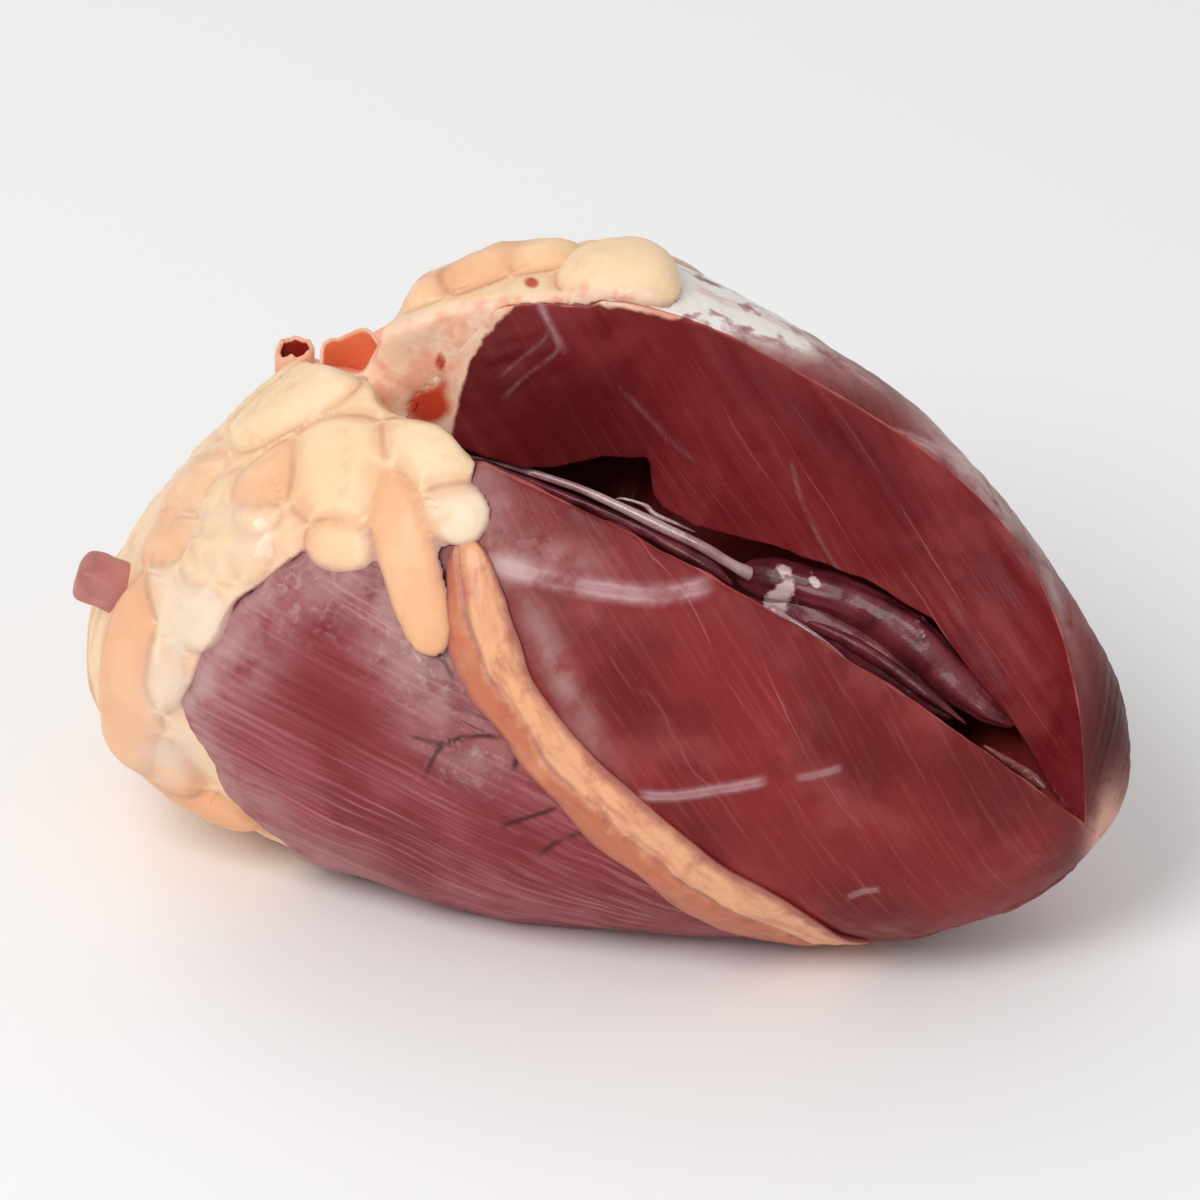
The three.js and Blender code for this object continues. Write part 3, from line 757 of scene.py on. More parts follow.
    def inside_muscle(self, points: Array) -> Array:
        """Depth of points below the muscle's skin, below zero outside it.

        Args:
            points: Points in the show frame.

        Returns:
            Depths.
        """
        s, degrees, outside = self.form.coordinates(points)
        skin = -(outside + self.form.fat_depth * self.form.covered(s, degrees))
        return np.minimum(skin, s - self.form.muscle_end)


@dataclass
class Muscle:
    """The heart's muscle with its skin, the two cut faces and the hollow between them."""

    form: HeartForm
    rows: int = 216
    counts: tuple[int, int, int, int] = (300, 66, 40, 38)
    lip_crowding: float = 0.72
    groove_dip: float = 1.4
    vein_rise: float = 0.45
    crease_dip: float = 0.7
    rounding: int = 14
    noise: SolidNoise = SolidNoise(3)

    def stations(self) -> Array:
        """Stations of the rows, evenly spaced over the curved outline.

        Returns:
            One station for each row.
        """
        s = np.linspace(self.form.muscle_end, self.form.apex_at - 1e-4, 6000)
        half = self.form.half(s)
        length = np.concatenate([[0], np.cumsum(np.hypot(np.diff(s), np.diff(half)))])
        return np.interp(np.linspace(0, length[-1], self.rows), length, s)

    def corners(self, s: Array) -> dict[str, Array]:
        """Where the cut's edges are in each section.

        Args:
            s: Stations.

        Returns:
            Angles of the two lips, and the lips' and inner edges' points.
        """
        form = self.form

        def lip_angle(height: Callable[[Array], Array]) -> Array:
            """Angle round the body at which a lip of the given height over u lies.

            Args:
                height: Gives the lip's height at places along the show plane.

            Returns:
                Angles in degrees.
            """
            v = np.zeros_like(s)
            for _ in range(6):
                v = height(s + form.slant(s) * v)
            reach = (v - form.centre(s)) / np.maximum(form.half(s), 1)
            return np.degrees(np.arcsin(np.clip(reach, -0.95, 0.95)))

        low = lip_angle(form.lower_lip)
        high = np.maximum(lip_angle(form.upper_lip), low)
        lower = form.muscle_surface(s, low)
        top = form.inner_top(s + form.slant(s) * lower[:, 1])
        sunk = np.clip((form.cut_end - s) / 14, 0, 1) ** 0.6
        w = lower[:, 2] + (form.cut_floor - lower[:, 2]) * sunk

        def inner(v: Array) -> Array:
            """Point of an inner edge at height v, nearer the lip towards the cut's end."""
            eased = lower[:, 1] + (v - lower[:, 1]) * np.minimum(1, sunk * 1.4)
            return np.stack([s + form.slant(s) * eased, eased, w], -1)

        inner_upper = inner(form.shown_top(s + form.slant(s) * lower[:, 1]))
        skin = form.surface(s, high)
        depth = np.maximum(np.linalg.norm(skin - inner_upper, axis=-1), 1)
        share = np.minimum(form.fat_depth * form.covered(s, high) / depth, 0.9)
        return {
            "low": low,
            "high": high,
            "lower": lower,
            "upper": skin + (inner_upper - skin) * share[:, None],
            "inner_upper": inner_upper,
            "inner_lower": inner(top - form.inner_gap(s)),
        }

    def crowded(self, count: int) -> Array:
        """Shares from 0 up to 1, closer together at both ends."""
        x = np.arange(count) / count
        return x - self.lip_crowding * np.sin(2 * np.pi * x) / (2 * np.pi)

    def hollow(self, s: Array, cut: dict[str, Array]) -> Array:
        """Round wall of the hollow behind the cut, from its upper to its lower edge.

        Args:
            s: Stations.
            cut: The cut's edges in each section.

        Returns:
            Rows of points in the show frame.
        """
        form = self.form
        half = (cut["inner_upper"][:, 1] - cut["inner_lower"][:, 1]) / 2
        middle = (cut["inner_upper"][:, 1] + cut["inner_lower"][:, 1]) / 2
        room = smooth((s + 62) / 40) * smooth((100 - s) / 35)
        radius = half + form.cavity_bulge * room
        drop = np.sqrt(np.maximum(0, radius**2 - half**2))
        start = np.arctan2(drop, half)
        x = np.arange(self.counts[2]) / self.counts[2]
        angle = start[:, None] - (np.pi + 2 * start)[:, None] * x
        v = middle[:, None] + radius[:, None] * np.cos(angle)
        w = (cut["inner_upper"][:, 2] - drop)[:, None] + radius[:, None] * np.sin(angle)
        return np.stack([s[:, None] + form.slant(s)[:, None] * v, v, w], -1)

    def sections(self) -> tuple[Array, Array, Array]:
        """All points of the muscle, row by row.

        Returns:
            Points in the show frame, and the station and angle round the body of each.
        """
        s = self.stations()
        cut = self.corners(s)
        turn = 360 - (cut["high"] - cut["low"])
        skin_degrees = cut["low"][:, None] - turn[:, None] * self.crowded(self.counts[0])
        stations = np.broadcast_to(s[:, None], (len(s), sum(self.counts)))
        skin = self.form.muscle_surface(stations[:, : self.counts[0]], skin_degrees)
        down = self.crowded(self.counts[1])[None, :, None]
        up = self.crowded(self.counts[3])[None, :, None]
        upper, inner_upper = cut["upper"][:, None], cut["inner_upper"][:, None]
        lower, inner_lower = cut["lower"][:, None], cut["inner_lower"][:, None]
        upper_face = upper + (inner_upper - upper) * down
        lower_face = inner_lower + (lower - inner_lower) * up
        points = np.concatenate([skin, upper_face, self.hollow(s, cut), lower_face], 1)
        other_degrees = self.form.coordinates(points[:, self.counts[0] :])[1]
        points[-1] = points[-1].mean(0)
        return points, stations, np.concatenate([skin_degrees, other_degrees], 1)

    def edge_distances(self, points: Array) -> tuple[Array, Array]:
        """How far round the section each point is from the lips and from the hollow.

        Args:
            points: Points of the rows.

        Returns:
            Distance to the lip, below zero off the skin, and distance into the hollow,
            below zero outside it.
        """
        step = np.linalg.norm(np.roll(points, -1, 1) - points, axis=-1)
        arc = np.concatenate([np.zeros((len(points), 1)), np.cumsum(step, 1)], 1)
        ends = np.cumsum(self.counts)
        high, inner_high, inner_low, low = (arc[:, n][:, None] for n in ends)
        here = arc[:, :-1]
        zone = self.zones()
        on_skin = np.minimum(here, high - here)
        off_skin = -np.minimum(here - high, low - here)
        lip = np.where(zone == Zone.SKIN.value, on_skin, off_skin)
        return lip, np.minimum(here - inner_high, inner_low - here)

    def zones(self) -> Array:
        """Zone number of each point of a row."""
        return np.concatenate([np.full(n, zone.value) for n, zone in zip(self.counts, Zone)])[None, :]

    @staticmethod
    def rounded(points: Array, weight: Array, passes: int) -> Array:
        """Rows eased towards their neighbours where the weight is high.

        Args:
            points: Rows of points.
            weight: How strongly each point is eased.
            passes: How often all are eased.

        Returns:
            The eased rows.
        """
        for _ in range(passes):
            middle = (np.roll(points, 1, 1) + np.roll(points, -1, 1)) / 2
            points = points + 0.6 * weight[..., None] * (middle - points)
        return points

    @staticmethod
    def normals(points: Array) -> Array:
        """Outward normals of the rows of points.

        Args:
            points: Rows of points.

        Returns:
            A direction for each point.
        """
        across = np.roll(points, -1, 1) - np.roll(points, 1, 1)
        normal = unit(np.cross(np.gradient(points, axis=0), across))
        outward = (normal[:, 40] * (points[:, 40] - points.mean(1))).sum(-1).mean()
        return normal if outward > 0 else -normal

    def built(self, placing: Placing, marks: "SkinMarks") -> Piece:
        """Makes the muscle.

        Args:
            placing: Turns the show frame into the part's frame.
            marks: Veins, films and creases on the skin.

        Returns:
            The muscle's object.
        """
        points, stations, degrees = self.sections()
        lip, inner = self.edge_distances(points)
        closed = stations[:, 0] > self.form.cut_end
        lip[closed], inner[closed] = 9, -9
        weight = np.maximum(bell(lip / 1.4), 0.9 * bell(inner / 2.4))
        points = self.rounded(points, weight, self.rounding)
        zone = np.broadcast_to(self.zones(), lip.shape)
        traits = marks.traits(points, stations, degrees, zone)
        traits |= {"lip": lip, "inner": inner}
        points = points + self.normals(points) * self.relief(points, traits, zone)[..., None]
        last = self.counts[0]
        points[closed, last:] = (points[closed, :1] + points[closed, last - 1 : last]) / 2
        return tube("muscle_body", placing.to_part(points), traits, joined=5e-5, last_end=False)

    def relief(self, points: Array, traits: dict[str, Array], zone: Array) -> Array:
        """Height of the muscle's unevenness.

        Args:
            points: The smooth points.
            traits: What is known of each point.
            zone: Zone number of each point.

        Returns:
            Height over the smooth form for each point.
        """
        right = traits["right"]
        skin = zone == Zone.SKIN.value
        deep = np.clip(traits["inner"] / 4, 0, 1)
        fibres = np.stack([traits["across"], traits["along"] * 0.08, np.zeros_like(right)], -1)
        noise = self.noise
        ridges = noise.layered(fibres, 3.2, 2)
        left_skin = 0.5 * noise.layered(points, 20, 2) + 0.14 * ridges
        right_skin = 1.1 * noise.layered(points, 28, 2) + 0.5 * noise.at(points, 8) + 0.24 * ridges
        face = 0.45 * noise.layered(points, 15, 2) + 0.3 * ridges
        hollow = 1.4 * noise.layered(points * (0.4, 1, 1), 9, 2)
        height = np.where(skin, left_skin + right * (right_skin - left_skin), face)
        height = height + deep * (hollow - height)
        lip_wave = 0.35 * noise.layered(points, 9, 2) * bell(traits["lip"] / 2.5)
        dip = self.groove_dip * traits["groove"] * skin
        veins = self.vein_rise * traits["vein_shown"] * bell(traits["vein"] / 1.6)
        creases = self.crease_dip * traits["crease_shown"] * bell(traits["crease"] / 2.5)
        u, v, w = np.moveaxis(points, -1, 0)
        folded = np.stack([u + v, v - u, w], -1) * (0.4, 1, 1)
        folds = traits["wrinkle"] * noise.layered(folded, 4.2, 2)
        return height + lip_wave - dip + veins - creases + folds


@dataclass(frozen=True)
class SurfaceLine:
    """A vein, streak or crease on the shown side, by its path in the show plane."""

    path: Table
    width: float
    strength: float = 1.0

    def read(self, points: Array) -> tuple[Array, Array]:
        """Where points of the show frame are beside the line.

        Args:
            points: The points.

        Returns:
            Signed distance in half widths, and how strongly the line shows near there.
        """
        line = eased_path(self.path, 4 * len(self.path))
        distance, share = beside_path(points[..., :2], line)
        taper = np.clip(10 * share, 0, 1) * np.clip(7 * (1 - share), 0, 1)
        near = smooth(2 - np.abs(distance) / 2.2) * smooth(1 + points[..., 2] / 18)
        return distance / self.width, self.strength * taper * near


def nearest_line(lines: Sequence[SurfaceLine], points: Array) -> tuple[Array, Array]:
    """Where points are beside the nearest of a few lines.

    Args:
        lines: The lines.
        points: Points of the show frame.

    Returns:
        Signed distance in half widths, and how strongly that line shows near there.
    """
    away = np.full(points.shape[:-1], 12.0)
    second, strength = away + 30, np.zeros_like(away)
    for line in lines:
        distance, shown = line.read(points)
        closer = np.abs(distance) < np.abs(away)
        second = np.where(closer, np.abs(away), np.minimum(second, np.abs(distance)))
        away, strength = np.where(closer, distance, away), np.where(closer, shown, strength)
    apart = smooth((second - np.abs(away) - 0.6) / 2)
    return away, strength * np.maximum(apart, smooth(2 - np.abs(away) / 1.2))


@dataclass(frozen=True)
class Patch:
    """A soft patch on the shown side: its middle, its half sizes and its turn."""

    u: float
    v: float
    half_length: float
    half_width: float
    turn: float = 0.0
    strength: float = 1.0

    def mask(self, points: Array) -> Array:
        """How strongly the patch shows at points of the show frame.

        Args:
            points: Points in the show frame.

        Returns:
            A strength for each point.
        """
        angle = math.radians(self.turn)
        du, dv = points[..., 0] - self.u, points[..., 1] - self.v
        length = (du * math.cos(angle) + dv * math.sin(angle)) / self.half_length
        width = (dv * math.cos(angle) - du * math.sin(angle)) / self.half_width
        return self.strength * bell(np.hypot(length, width)) * smooth(1 + points[..., 2] / 18)


def masked(patches: Sequence[Patch], points: Array) -> Array:
    """How strongly a few patches together show at points of the show frame."""
    return sum(patch.mask(points) for patch in patches)


@dataclass(frozen=True)
class SkinMarks:
    """What is on the muscle's skin: veins, silvery film, creases and the two grooves."""

    form: HeartForm
    fat: FatField
    veins: tuple[SurfaceLine, ...] = (
        SurfaceLine(
            (
                (-31, -2.4), (-21, -1.4), (-10.8, -0.3), (-0.8, 1.6), (7.8, 3.9), (13.6, 7.4),
                (17.8, 10.6),
            ),
            1.3,
        ),
        SurfaceLine(
            ((17.6, -38), (23.7, -36.3), (30.7, -32.8), (38.4, -28.4), (43.4, -25.4)), 0.7, 0.8
        ),
        SurfaceLine(((48.3, -23.4), (53.1, -20.5), (57.3, -17.3)), 0.5, 0.6),
        SurfaceLine(((67.9, -43.8), (71.1, -41), (74.2, -39.4)), 0.4, 0.5),
        SurfaceLine(
            ((-9.3, 69.5), (-2.7, 69), (11.6, 68.6), (22.1, 67), (29.7, 65), (43.2, 61)), 0.5, 0.9
        ),
        SurfaceLine(
            ((39.3, 51.5), (45, 54.5), (56.2, 53.9), (65.3, 50), (71.2, 46.5), (76.3, 42.3)), 0.7, 0.9
        ),
    )
    face_lines: tuple[SurfaceLine, ...] = (
        SurfaceLine(
            ((-40.4, 58.5), (-39.3, 55.9), (-36.3, 52.8), (-33.3, 49.8), (-29.4, 46.2)), 0.75
        ),
        SurfaceLine(((-31.6, 48.6), (-31.8, 45.4), (-36.4, 38.4), (-39.2, 32.5)), 0.5, 0.45),
        SurfaceLine(((-34.6, 50.4), (-35.2, 47.2), (-39, 41), (-41.5, 36.8)), 0.45, 0.4),
        SurfaceLine(((-17.8, 44.4), (-8.8, 40.1), (-2.2, 36.7), (5.7, 33.7)), 0.6, 0.3),
        SurfaceLine(((24, 42), (30, 33.5), (39, 25), (46, 20.5)), 0.5, 0.4),
    )
    creases: tuple[SurfaceLine, ...] = (
        SurfaceLine(
            ((-26.7, -50.6), (-25.9, -44.5), (-23.7, -40.9), (-18.8, -38.4), (-12.8, -36.9)), 0.34
        ),
        SurfaceLine(((-23.4, -41), (-27, -42.5), (-33, -43.4)), 0.3, 0.7),
        SurfaceLine(((-7.7, -55.2), (-1.9, -51.2), (3.1, -47.1)), 0.36, 0.9),
        SurfaceLine(((2, -58.7), (6.3, -53.4), (13.2, -49.2), (22, -47.7)), 0.36, 0.9),
        SurfaceLine(((-28.6, -33.8), (-22.6, -34.4), (-15.6, -34.2)), 0.3, 0.5),
        SurfaceLine(((-11.5, -35.8), (-9.2, -38.9), (-9.1, -43.1)), 0.5),
        SurfaceLine(((-41, -19), (-36.5, -23.5), (-31.5, -25.5), (-27, -30)), 0.34, 0.6),
    )
    # Films of silvery tissue. The strongest patches, along the top and the right back edges, also turn
    # near white, which is partly painted sheen.
    films: tuple[Patch, ...] = (
        Patch(-10, 67, 12, 9, -16, 3.4), Patch(6, 69, 12, 5, -14, 2), Patch(-23, 64, 6, 4, 0, 3),
        Patch(12, 67.5, 20, 4, -8, 1.3), Patch(58, 56, 24, 4, -32, 1.2),
        Patch(88, 34, 14, 1.6, -52, 0.7), Patch(-7, -19, 24, 3.5, -44, 0.55),
        Patch(-80, -48, 6, 22, -16, 0.9), Patch(-72, -15, 13, 6, 0, 0.7), Patch(-29, 2, 8, 6, 0, 0.25),
        Patch(-25, -1.5, 8, 2.6, 4, 0.7), Patch(-15, 4, 9, 4, 4, 0.45), Patch(-17, -42, 8, 5, 20, 0.4),
        Patch(-40, -22, 12, 6, -45, 0.15),
    )
    wrinkles: tuple[Patch, ...] = (
        Patch(-36, -26, 14, 9, -45), Patch(-72, -22, 17, 9, 0), Patch(-17.3, -44.4, 9, 6, 0, 0.8),
        Patch(-22, 6, 10, 7, 0, 0.35), Patch(-38, 42, 10, 9, 50, 0.6),
    )
    # Darker patches. The first two, on the upper cut face, and the last, on the side near the apex, are
    # painted shade; the other four darken the thin right side towards its darker red.
    dark_red_and_shade: tuple[Patch, ...] = (
        Patch(-30, 34, 27, 15, 0, 0.9), Patch(20, 52, 30, 6, -14, 0.5),
        Patch(-50, -44, 20, 10, -12, 1.1), Patch(-10, -52, 14, 7, -12, 0.7),
        Patch(-58, -28, 7, 5, 0, 0.6), Patch(8, -60, 26, 5, 8, 0.5), Patch(110, 8, 26, 9, -78, 1.1),
    )
    lined: tuple[Patch, ...] = (
        Patch(62, 26, 34, 12, -38), Patch(20, 34, 26, 10, -30, 0.45), Patch(4, 0, 30, 24, -20, 1),
        Patch(40, -18, 30, 24, -30, 0.6),
    )
    fatty: tuple[Patch, ...] = (
        Patch(116, -11, 3.4, 9, 8, 1.3), Patch(-31, -3, 4, 6, 20, 0.5),
    )
    wet: tuple[Patch, ...] = (
        Patch(38.6, 0, 4, 2.6, -20), Patch(47.5, -8.4, 5, 3.2, -30, 0.8), Patch(29, 4, 4, 2, -20, 0.8),
        Patch(-36, -26, 12, 8, -45, 0.8), Patch(-70, -20, 14, 8, 0, 0.9), Patch(-20, -44, 9, 6, 0, 0.7),
        Patch(86, 30, 26, 5, -48, 0.5),
    )
    spots: tuple[Patch, ...] = (
        Patch(-54, 25.6, 5.4, 4.2, 25, 1.3), Patch(-41.9, 58.6, 1.9, 1.5, 0, 1.2),
        Patch(-54.8, 35.6, 1.5, 2.6, 20, 1), Patch(-52.5, 31.5, 2.6, 1.6, 70, 0.5),
    )
    groove_width: float = 8.0
    front_groove: Table = (
        (-36, -7), (-23.6, -17), (-9.5, -28.5), (9.2, -39), (33, -51), (53, -65), (70, -80)
    )

    def right_side(self, stations: Array, degrees: Array) -> Array:
        """Share to which the skin belongs to the thin right side, between the grooves.

        Args:
            stations: Stations of the points.
            degrees: Their angles round the body.

        Returns:
            Shares from 0 to 1.
        """
        front = along((*self.front_groove, (95, -86), (116, -80)), stations)
        back = along([(s, d - 360) for s, d in (*self.form.back_groove, (115.6, 285))], stations)
        return smooth((front - degrees) / 5) * smooth((degrees - back) / 5)

    def groove(self, points: Array) -> Array:
        """Dips of the skin along the two grooves.

        Args:
            points: Points of the skin.

        Returns:
            Depths from 0 to 1.
        """
        dip = np.zeros(points.shape[:-1])
        for path in (self.front_groove, self.form.back_groove):
            line = eased_path(path, 40)
            away, _ = beside_path(points, self.form.surface(line[:, 0], line[:, 1]))
            dip = np.maximum(dip, bell(away / self.groove_width))
        return dip

    def traits(self, points: Array, stations: Array, degrees: Array, zone: Array) -> dict[str, Array]:
        """Numbers for the muscle's points that its relief and its material use.

        Args:
            points: The smooth points.
            stations: Their stations.
            degrees: Their angles round the body.
            zone: Their zone numbers.

        Returns:
            One number for each point by name.
        """
        skin = zone == Zone.SKIN.value
        u, v = points[..., 0], points[..., 1]
        right = self.right_side(stations, degrees) * skin
        arc = np.radians(degrees) * self.form.half(stations) * 0.93
        first, second = np.where(skin, stations, u), np.where(skin, arc, v)
        across_left, along_left = 0.6 * first + 0.8 * second, 0.8 * first - 0.6 * second
        across_right, along_right = 0.2 * first + 0.98 * second, 0.98 * first - 0.2 * second
        to_fat = self.fat.nearest(points)[0]
        near = smooth(1 - to_fat / (6 + 6 * right)) * (0.45 + 0.15 * right)
        film = np.maximum(near, masked(self.films, points)) * skin
        upper = zone == Zone.UPPER_FACE.value
        on_skin, on_face = nearest_line(self.veins, points), nearest_line(self.face_lines, points)
        vein = np.where(skin, on_skin[0], np.abs(on_face[0]) + 0.9)
        vein_shown = np.where(skin, on_skin[1], on_face[1] * upper)
        crease, crease_shown = nearest_line(self.creases, points)
        return {
            "right": right,
            "across": across_left + right * (across_right - across_left),
            "along": along_left + right * (along_right - along_left),
            "film": film,
            "vein": vein,
            "vein_shown": vein_shown,
            "crease": crease,
            "crease_shown": crease_shown * skin,
            "groove": self.groove(points),
            "wrinkle": masked(self.wrinkles, points) * (skin | upper),
            "dark_red_and_shade": masked(self.dark_red_and_shade, points) * (skin | upper),
            "wet": masked(self.wet, points) * skin,
            "lined": np.minimum(1, masked(self.lined, points)),
            "fatty": masked(self.fatty, points) * skin,
            "past_muscle": np.where(upper, self.form.past_muscle(points), -9),
            "spot": masked(self.spots, points) * upper,
        }


def net_of(values: Array, low: Array, step: float) -> tuple[Array, Array]:
    """Closed net of quads where grid values cross zero, with one point in each crossed cell.

    Args:
        values: Values at the grid's points, below zero inside the solid.
        low: The grid's low corner.
        step: Distance between the grid's points.

    Returns:
        Points, and point numbers of the quads, which face outwards.
    """
    inside = values < 0
    corners = np.array(list(np.ndindex(2, 2, 2)))
    shape = np.array(values.shape) - 1
    a, b, c = shape
    count = sum(inside[i : i + a, j : j + b, k : k + c].astype(int) for i, j, k in corners)
    cells = np.argwhere((count > 0) & (count < 8))
    number = np.full(tuple(shape), -1)
    number[tuple(cells.T)] = np.arange(len(cells))
    at = np.stack([values[tuple((cells + corner).T)] for corner in corners], -1)
    total, crossed = np.zeros((len(cells), 3)), np.zeros(len(cells))
    edges = [(a, b) for a in range(8) for b in range(a) if abs(corners[a] - corners[b]).sum() == 1]
    for a, b in edges:
        cross = (at[:, a] < 0) != (at[:, b] < 0)
        share = at[cross, a] / (at[cross, a] - at[cross, b])
        total[cross] += corners[a] + share[:, None] * (corners[b] - corners[a])
        crossed[cross] += 1
    points = low + step * (cells + total / crossed[:, None])
    quads = []
    for axis in range(3):
        steps = np.roll(np.eye(3, dtype=int), -axis, axis=0)
        here = inside[tuple(slice(None, -1) if n == axis else slice(None) for n in range(3))]
        there = inside[tuple(slice(1, None) if n == axis else slice(None) for n in range(3))]
        ends = np.argwhere(here != there)
        others = [n for n in range(3) if n != axis]
        ends = ends[(ends[:, others] > 0).all(1) & (ends[:, others] < shape[others]).all(1)]
        around = (0 * steps[1], steps[1], steps[1] + steps[2], steps[2])
        quad = np.stack([number[tuple((ends - away).T)] for away in around], -1)
        flip = ~here[tuple(ends.T)]
        quad[flip] = quad[flip][:, ::-1]
        quads.append(quad)
    return points, np.concatenate(quads)


def neighbours_mean(points: Array, quads: Array) -> Array:
    """Mean of each point's neighbours along the quads' edges.

    Args:
        points: The net's points.
        quads: Point numbers of its quads.

    Returns:
        A mean for each point.
    """
    start, end = quads.ravel(), np.roll(quads, -1, 1).ravel()
    start, end = np.concatenate([start, end]), np.concatenate([end, start])
    count = np.maximum(np.bincount(start, minlength=len(points)), 1)
    sums = [np.bincount(start, points[end, axis], len(points)) for axis in range(3)]
    return np.stack(sums, -1) / count[:, None]


def quad_normals(points: Array, quads: Array) -> Array:
    """Normals of the points of a net of quads.

    Args:
        points: The net's points.
        quads: Point numbers of its quads.

    Returns:
        A direction for each point.
    """
    a, b, c, d = (points[quads[:, n]] for n in range(4))
    normal = np.cross(c - a, d - b)
    sums = [np.bincount(quads.ravel(), np.repeat(normal[:, axis], 4), len(points)) for axis in range(3)]
    return unit(np.stack(sums, -1))


@dataclass
class FatCollar:
    """The lobed fat round the base, cut open where the knife went through."""

    form: HeartForm
    fat: FatField
    step: float = 1.2
    low: tuple[float, float, float] = (-122, -92, -76)
    high: tuple[float, float, float] = (4, 84, 76)
    sunk: float = 0.6
    proud: float = 0.8
    crease_dip: float = 0.4
    shell: tuple[float, float] = (-14, 13)
    core: float = -12
    wrinkled: Patch = Patch(-88, -14, 17, 15)
    films: tuple[Patch, ...] = (
        Patch(-86, -30, 12, 8, 0, 0.5), Patch(-84, -47, 8, 15, -14, 0.9),
        Patch(-79, -63, 6, 13, -32, 0.9), Patch(-82, -15, 14, 8, 0, 0.5),
    )
    noise: SolidNoise = SolidNoise(21)

    def solid(self, points: Array) -> Array:
        """Signed distance of the collar, without the muscle, the cut and what is below the floor.

        Args:
            points: Points in the show frame.

        Returns:
            Distances, below zero inside.
        """
        face, lip = self.form.cut_sides(points)
        past = self.form.past_muscle(points)
        under = self.fat.inside_muscle(points) - self.sunk
        skin = np.maximum(-face - self.sunk, 1 - past)
        swollen = face - self.proud * smooth(past / 5)
        cut = -blended([-swollen, -lip], 0.8, -1)
        value = blended([self.fat.nearest(points)[0], cut, self.form.in_notch(points)], 1.1, -1)
        below = self.form.floor - self.form.upright(points)[..., 2]
        return np.maximum(np.maximum(value, np.minimum(under, skin)), below)

    def sampled(self) -> Array:
        """Values of the collar on its grid, exact only near its surface.

        Returns:
            One value for each point of the grid.
        """
        axes = [np.arange(a, b, self.step) for a, b in zip(self.low, self.high)]
        grid = np.stack(np.meshgrid(*axes, indexing="ij"), -1)
        s, _, outside = self.form.coordinates(grid)
        values = np.where((outside < self.core) & (s < self.form.muscle_end), -4.0, 4.0)
        near = (outside > self.shell[0]) & (outside < self.shell[1]) & (s < 4)
        ends = (s < self.form.muscle_end + 4) & (s > self.form.base_at - 3)
        near |= (outside <= self.core) & ends
        values[near] = self.solid(grid[near])
        return values

    def built(self, placing: Placing, spots: Sequence[Patch]) -> Piece:
        """Makes the collar.

        Args:
            placing: Turns the show frame into the part's frame.
            spots: Red spots on its cut face.

        Returns:
            The collar's object.
        """
        points, quads = net_of(self.sampled(), np.array(self.low, float), self.step)
        for share in (0.5, -0.35, 0.5, -0.35):
            points = points + share * (neighbours_mean(points, quads) - points)
        _, crease, apart, number = self.fat.nearest(points)
        face, lip = self.form.cut_sides(points)
        past = self.form.past_muscle(points)
        notch = self.form.in_notch(points)
        opened = smooth((face + 2.4) / 1.6) * smooth((lip - 0.4) / 1.5)
        opened = np.maximum(opened, smooth((notch + 1.6) / 1.2))
        wrinkled = self.wrinkled.mask(points)
        lumps = 0.45 * self.noise.layered(points, 11, 2) + 0.16 * self.noise.at(points, 3.5)
        cut_lumps = 0.9 * self.noise.layered(points, 13, 2) + 0.4 * self.noise.at(points, 5)
        height = lumps + opened * (cut_lumps * smooth(past / 3) - lumps)
        height = height + wrinkled * self.noise.layered(points * (0.7, 1.2, 1), 4.2, 2)
        shown = smooth(2 - np.abs(crease) / 1.5) * smooth((apart - 0.1) / 0.6)
        shown = shown * (1 - opened) * (1 - 0.7 * wrinkled)
        height = height - self.crease_dip * bell(crease / 0.9) * shown
        points = points + quad_normals(points, quads) * height[:, None]
        traits = {
            "crease": np.clip(crease, -6, 6),
            "crease_shown": shown,
            "cut": opened,
            "past_muscle": np.where(notch > -1.6, 6, past),
            "warmth": self.fat.warmth[number],
            "thin": -self.fat.inside_muscle(points),
            "spot": masked(spots, points),
            "wrinkled": wrinkled,
            "film": masked(self.films, points),
        }
        return new_object("fat_collar_body", placing.to_part(points), quads.tolist(), traits)


def swept(path: Array, radii: Array, sides: int, flat: float = 1.0) -> tuple[Array, Array, Array]:
    """Rings round a curve, flattened towards the viewer.

    Args:
        path: Points of the curve in the show frame.
        radii: Half width of the ring at each point.
        sides: Points in each ring.
        flat: Share of the half width that a ring reaches out of the side with the cut.

    Returns:
        Points of the rings, their outward directions, and the angle of each point.
    """
    way = unit(np.gradient(path, axis=0))
    side = unit(np.cross(np.array([0.0, 0.0, 1.0]), way))
    out = np.cross(way, side)
    angle = np.linspace(0, 2 * np.pi, sides, endpoint=False)[None, :, None]
    spoke = np.cos(angle) * side[:, None] + flat * np.sin(angle) * out[:, None]
    points = path[:, None] + radii[:, None, None] * spoke
    return points, unit(spoke), np.broadcast_to(angle[..., 0], points.shape[:2])


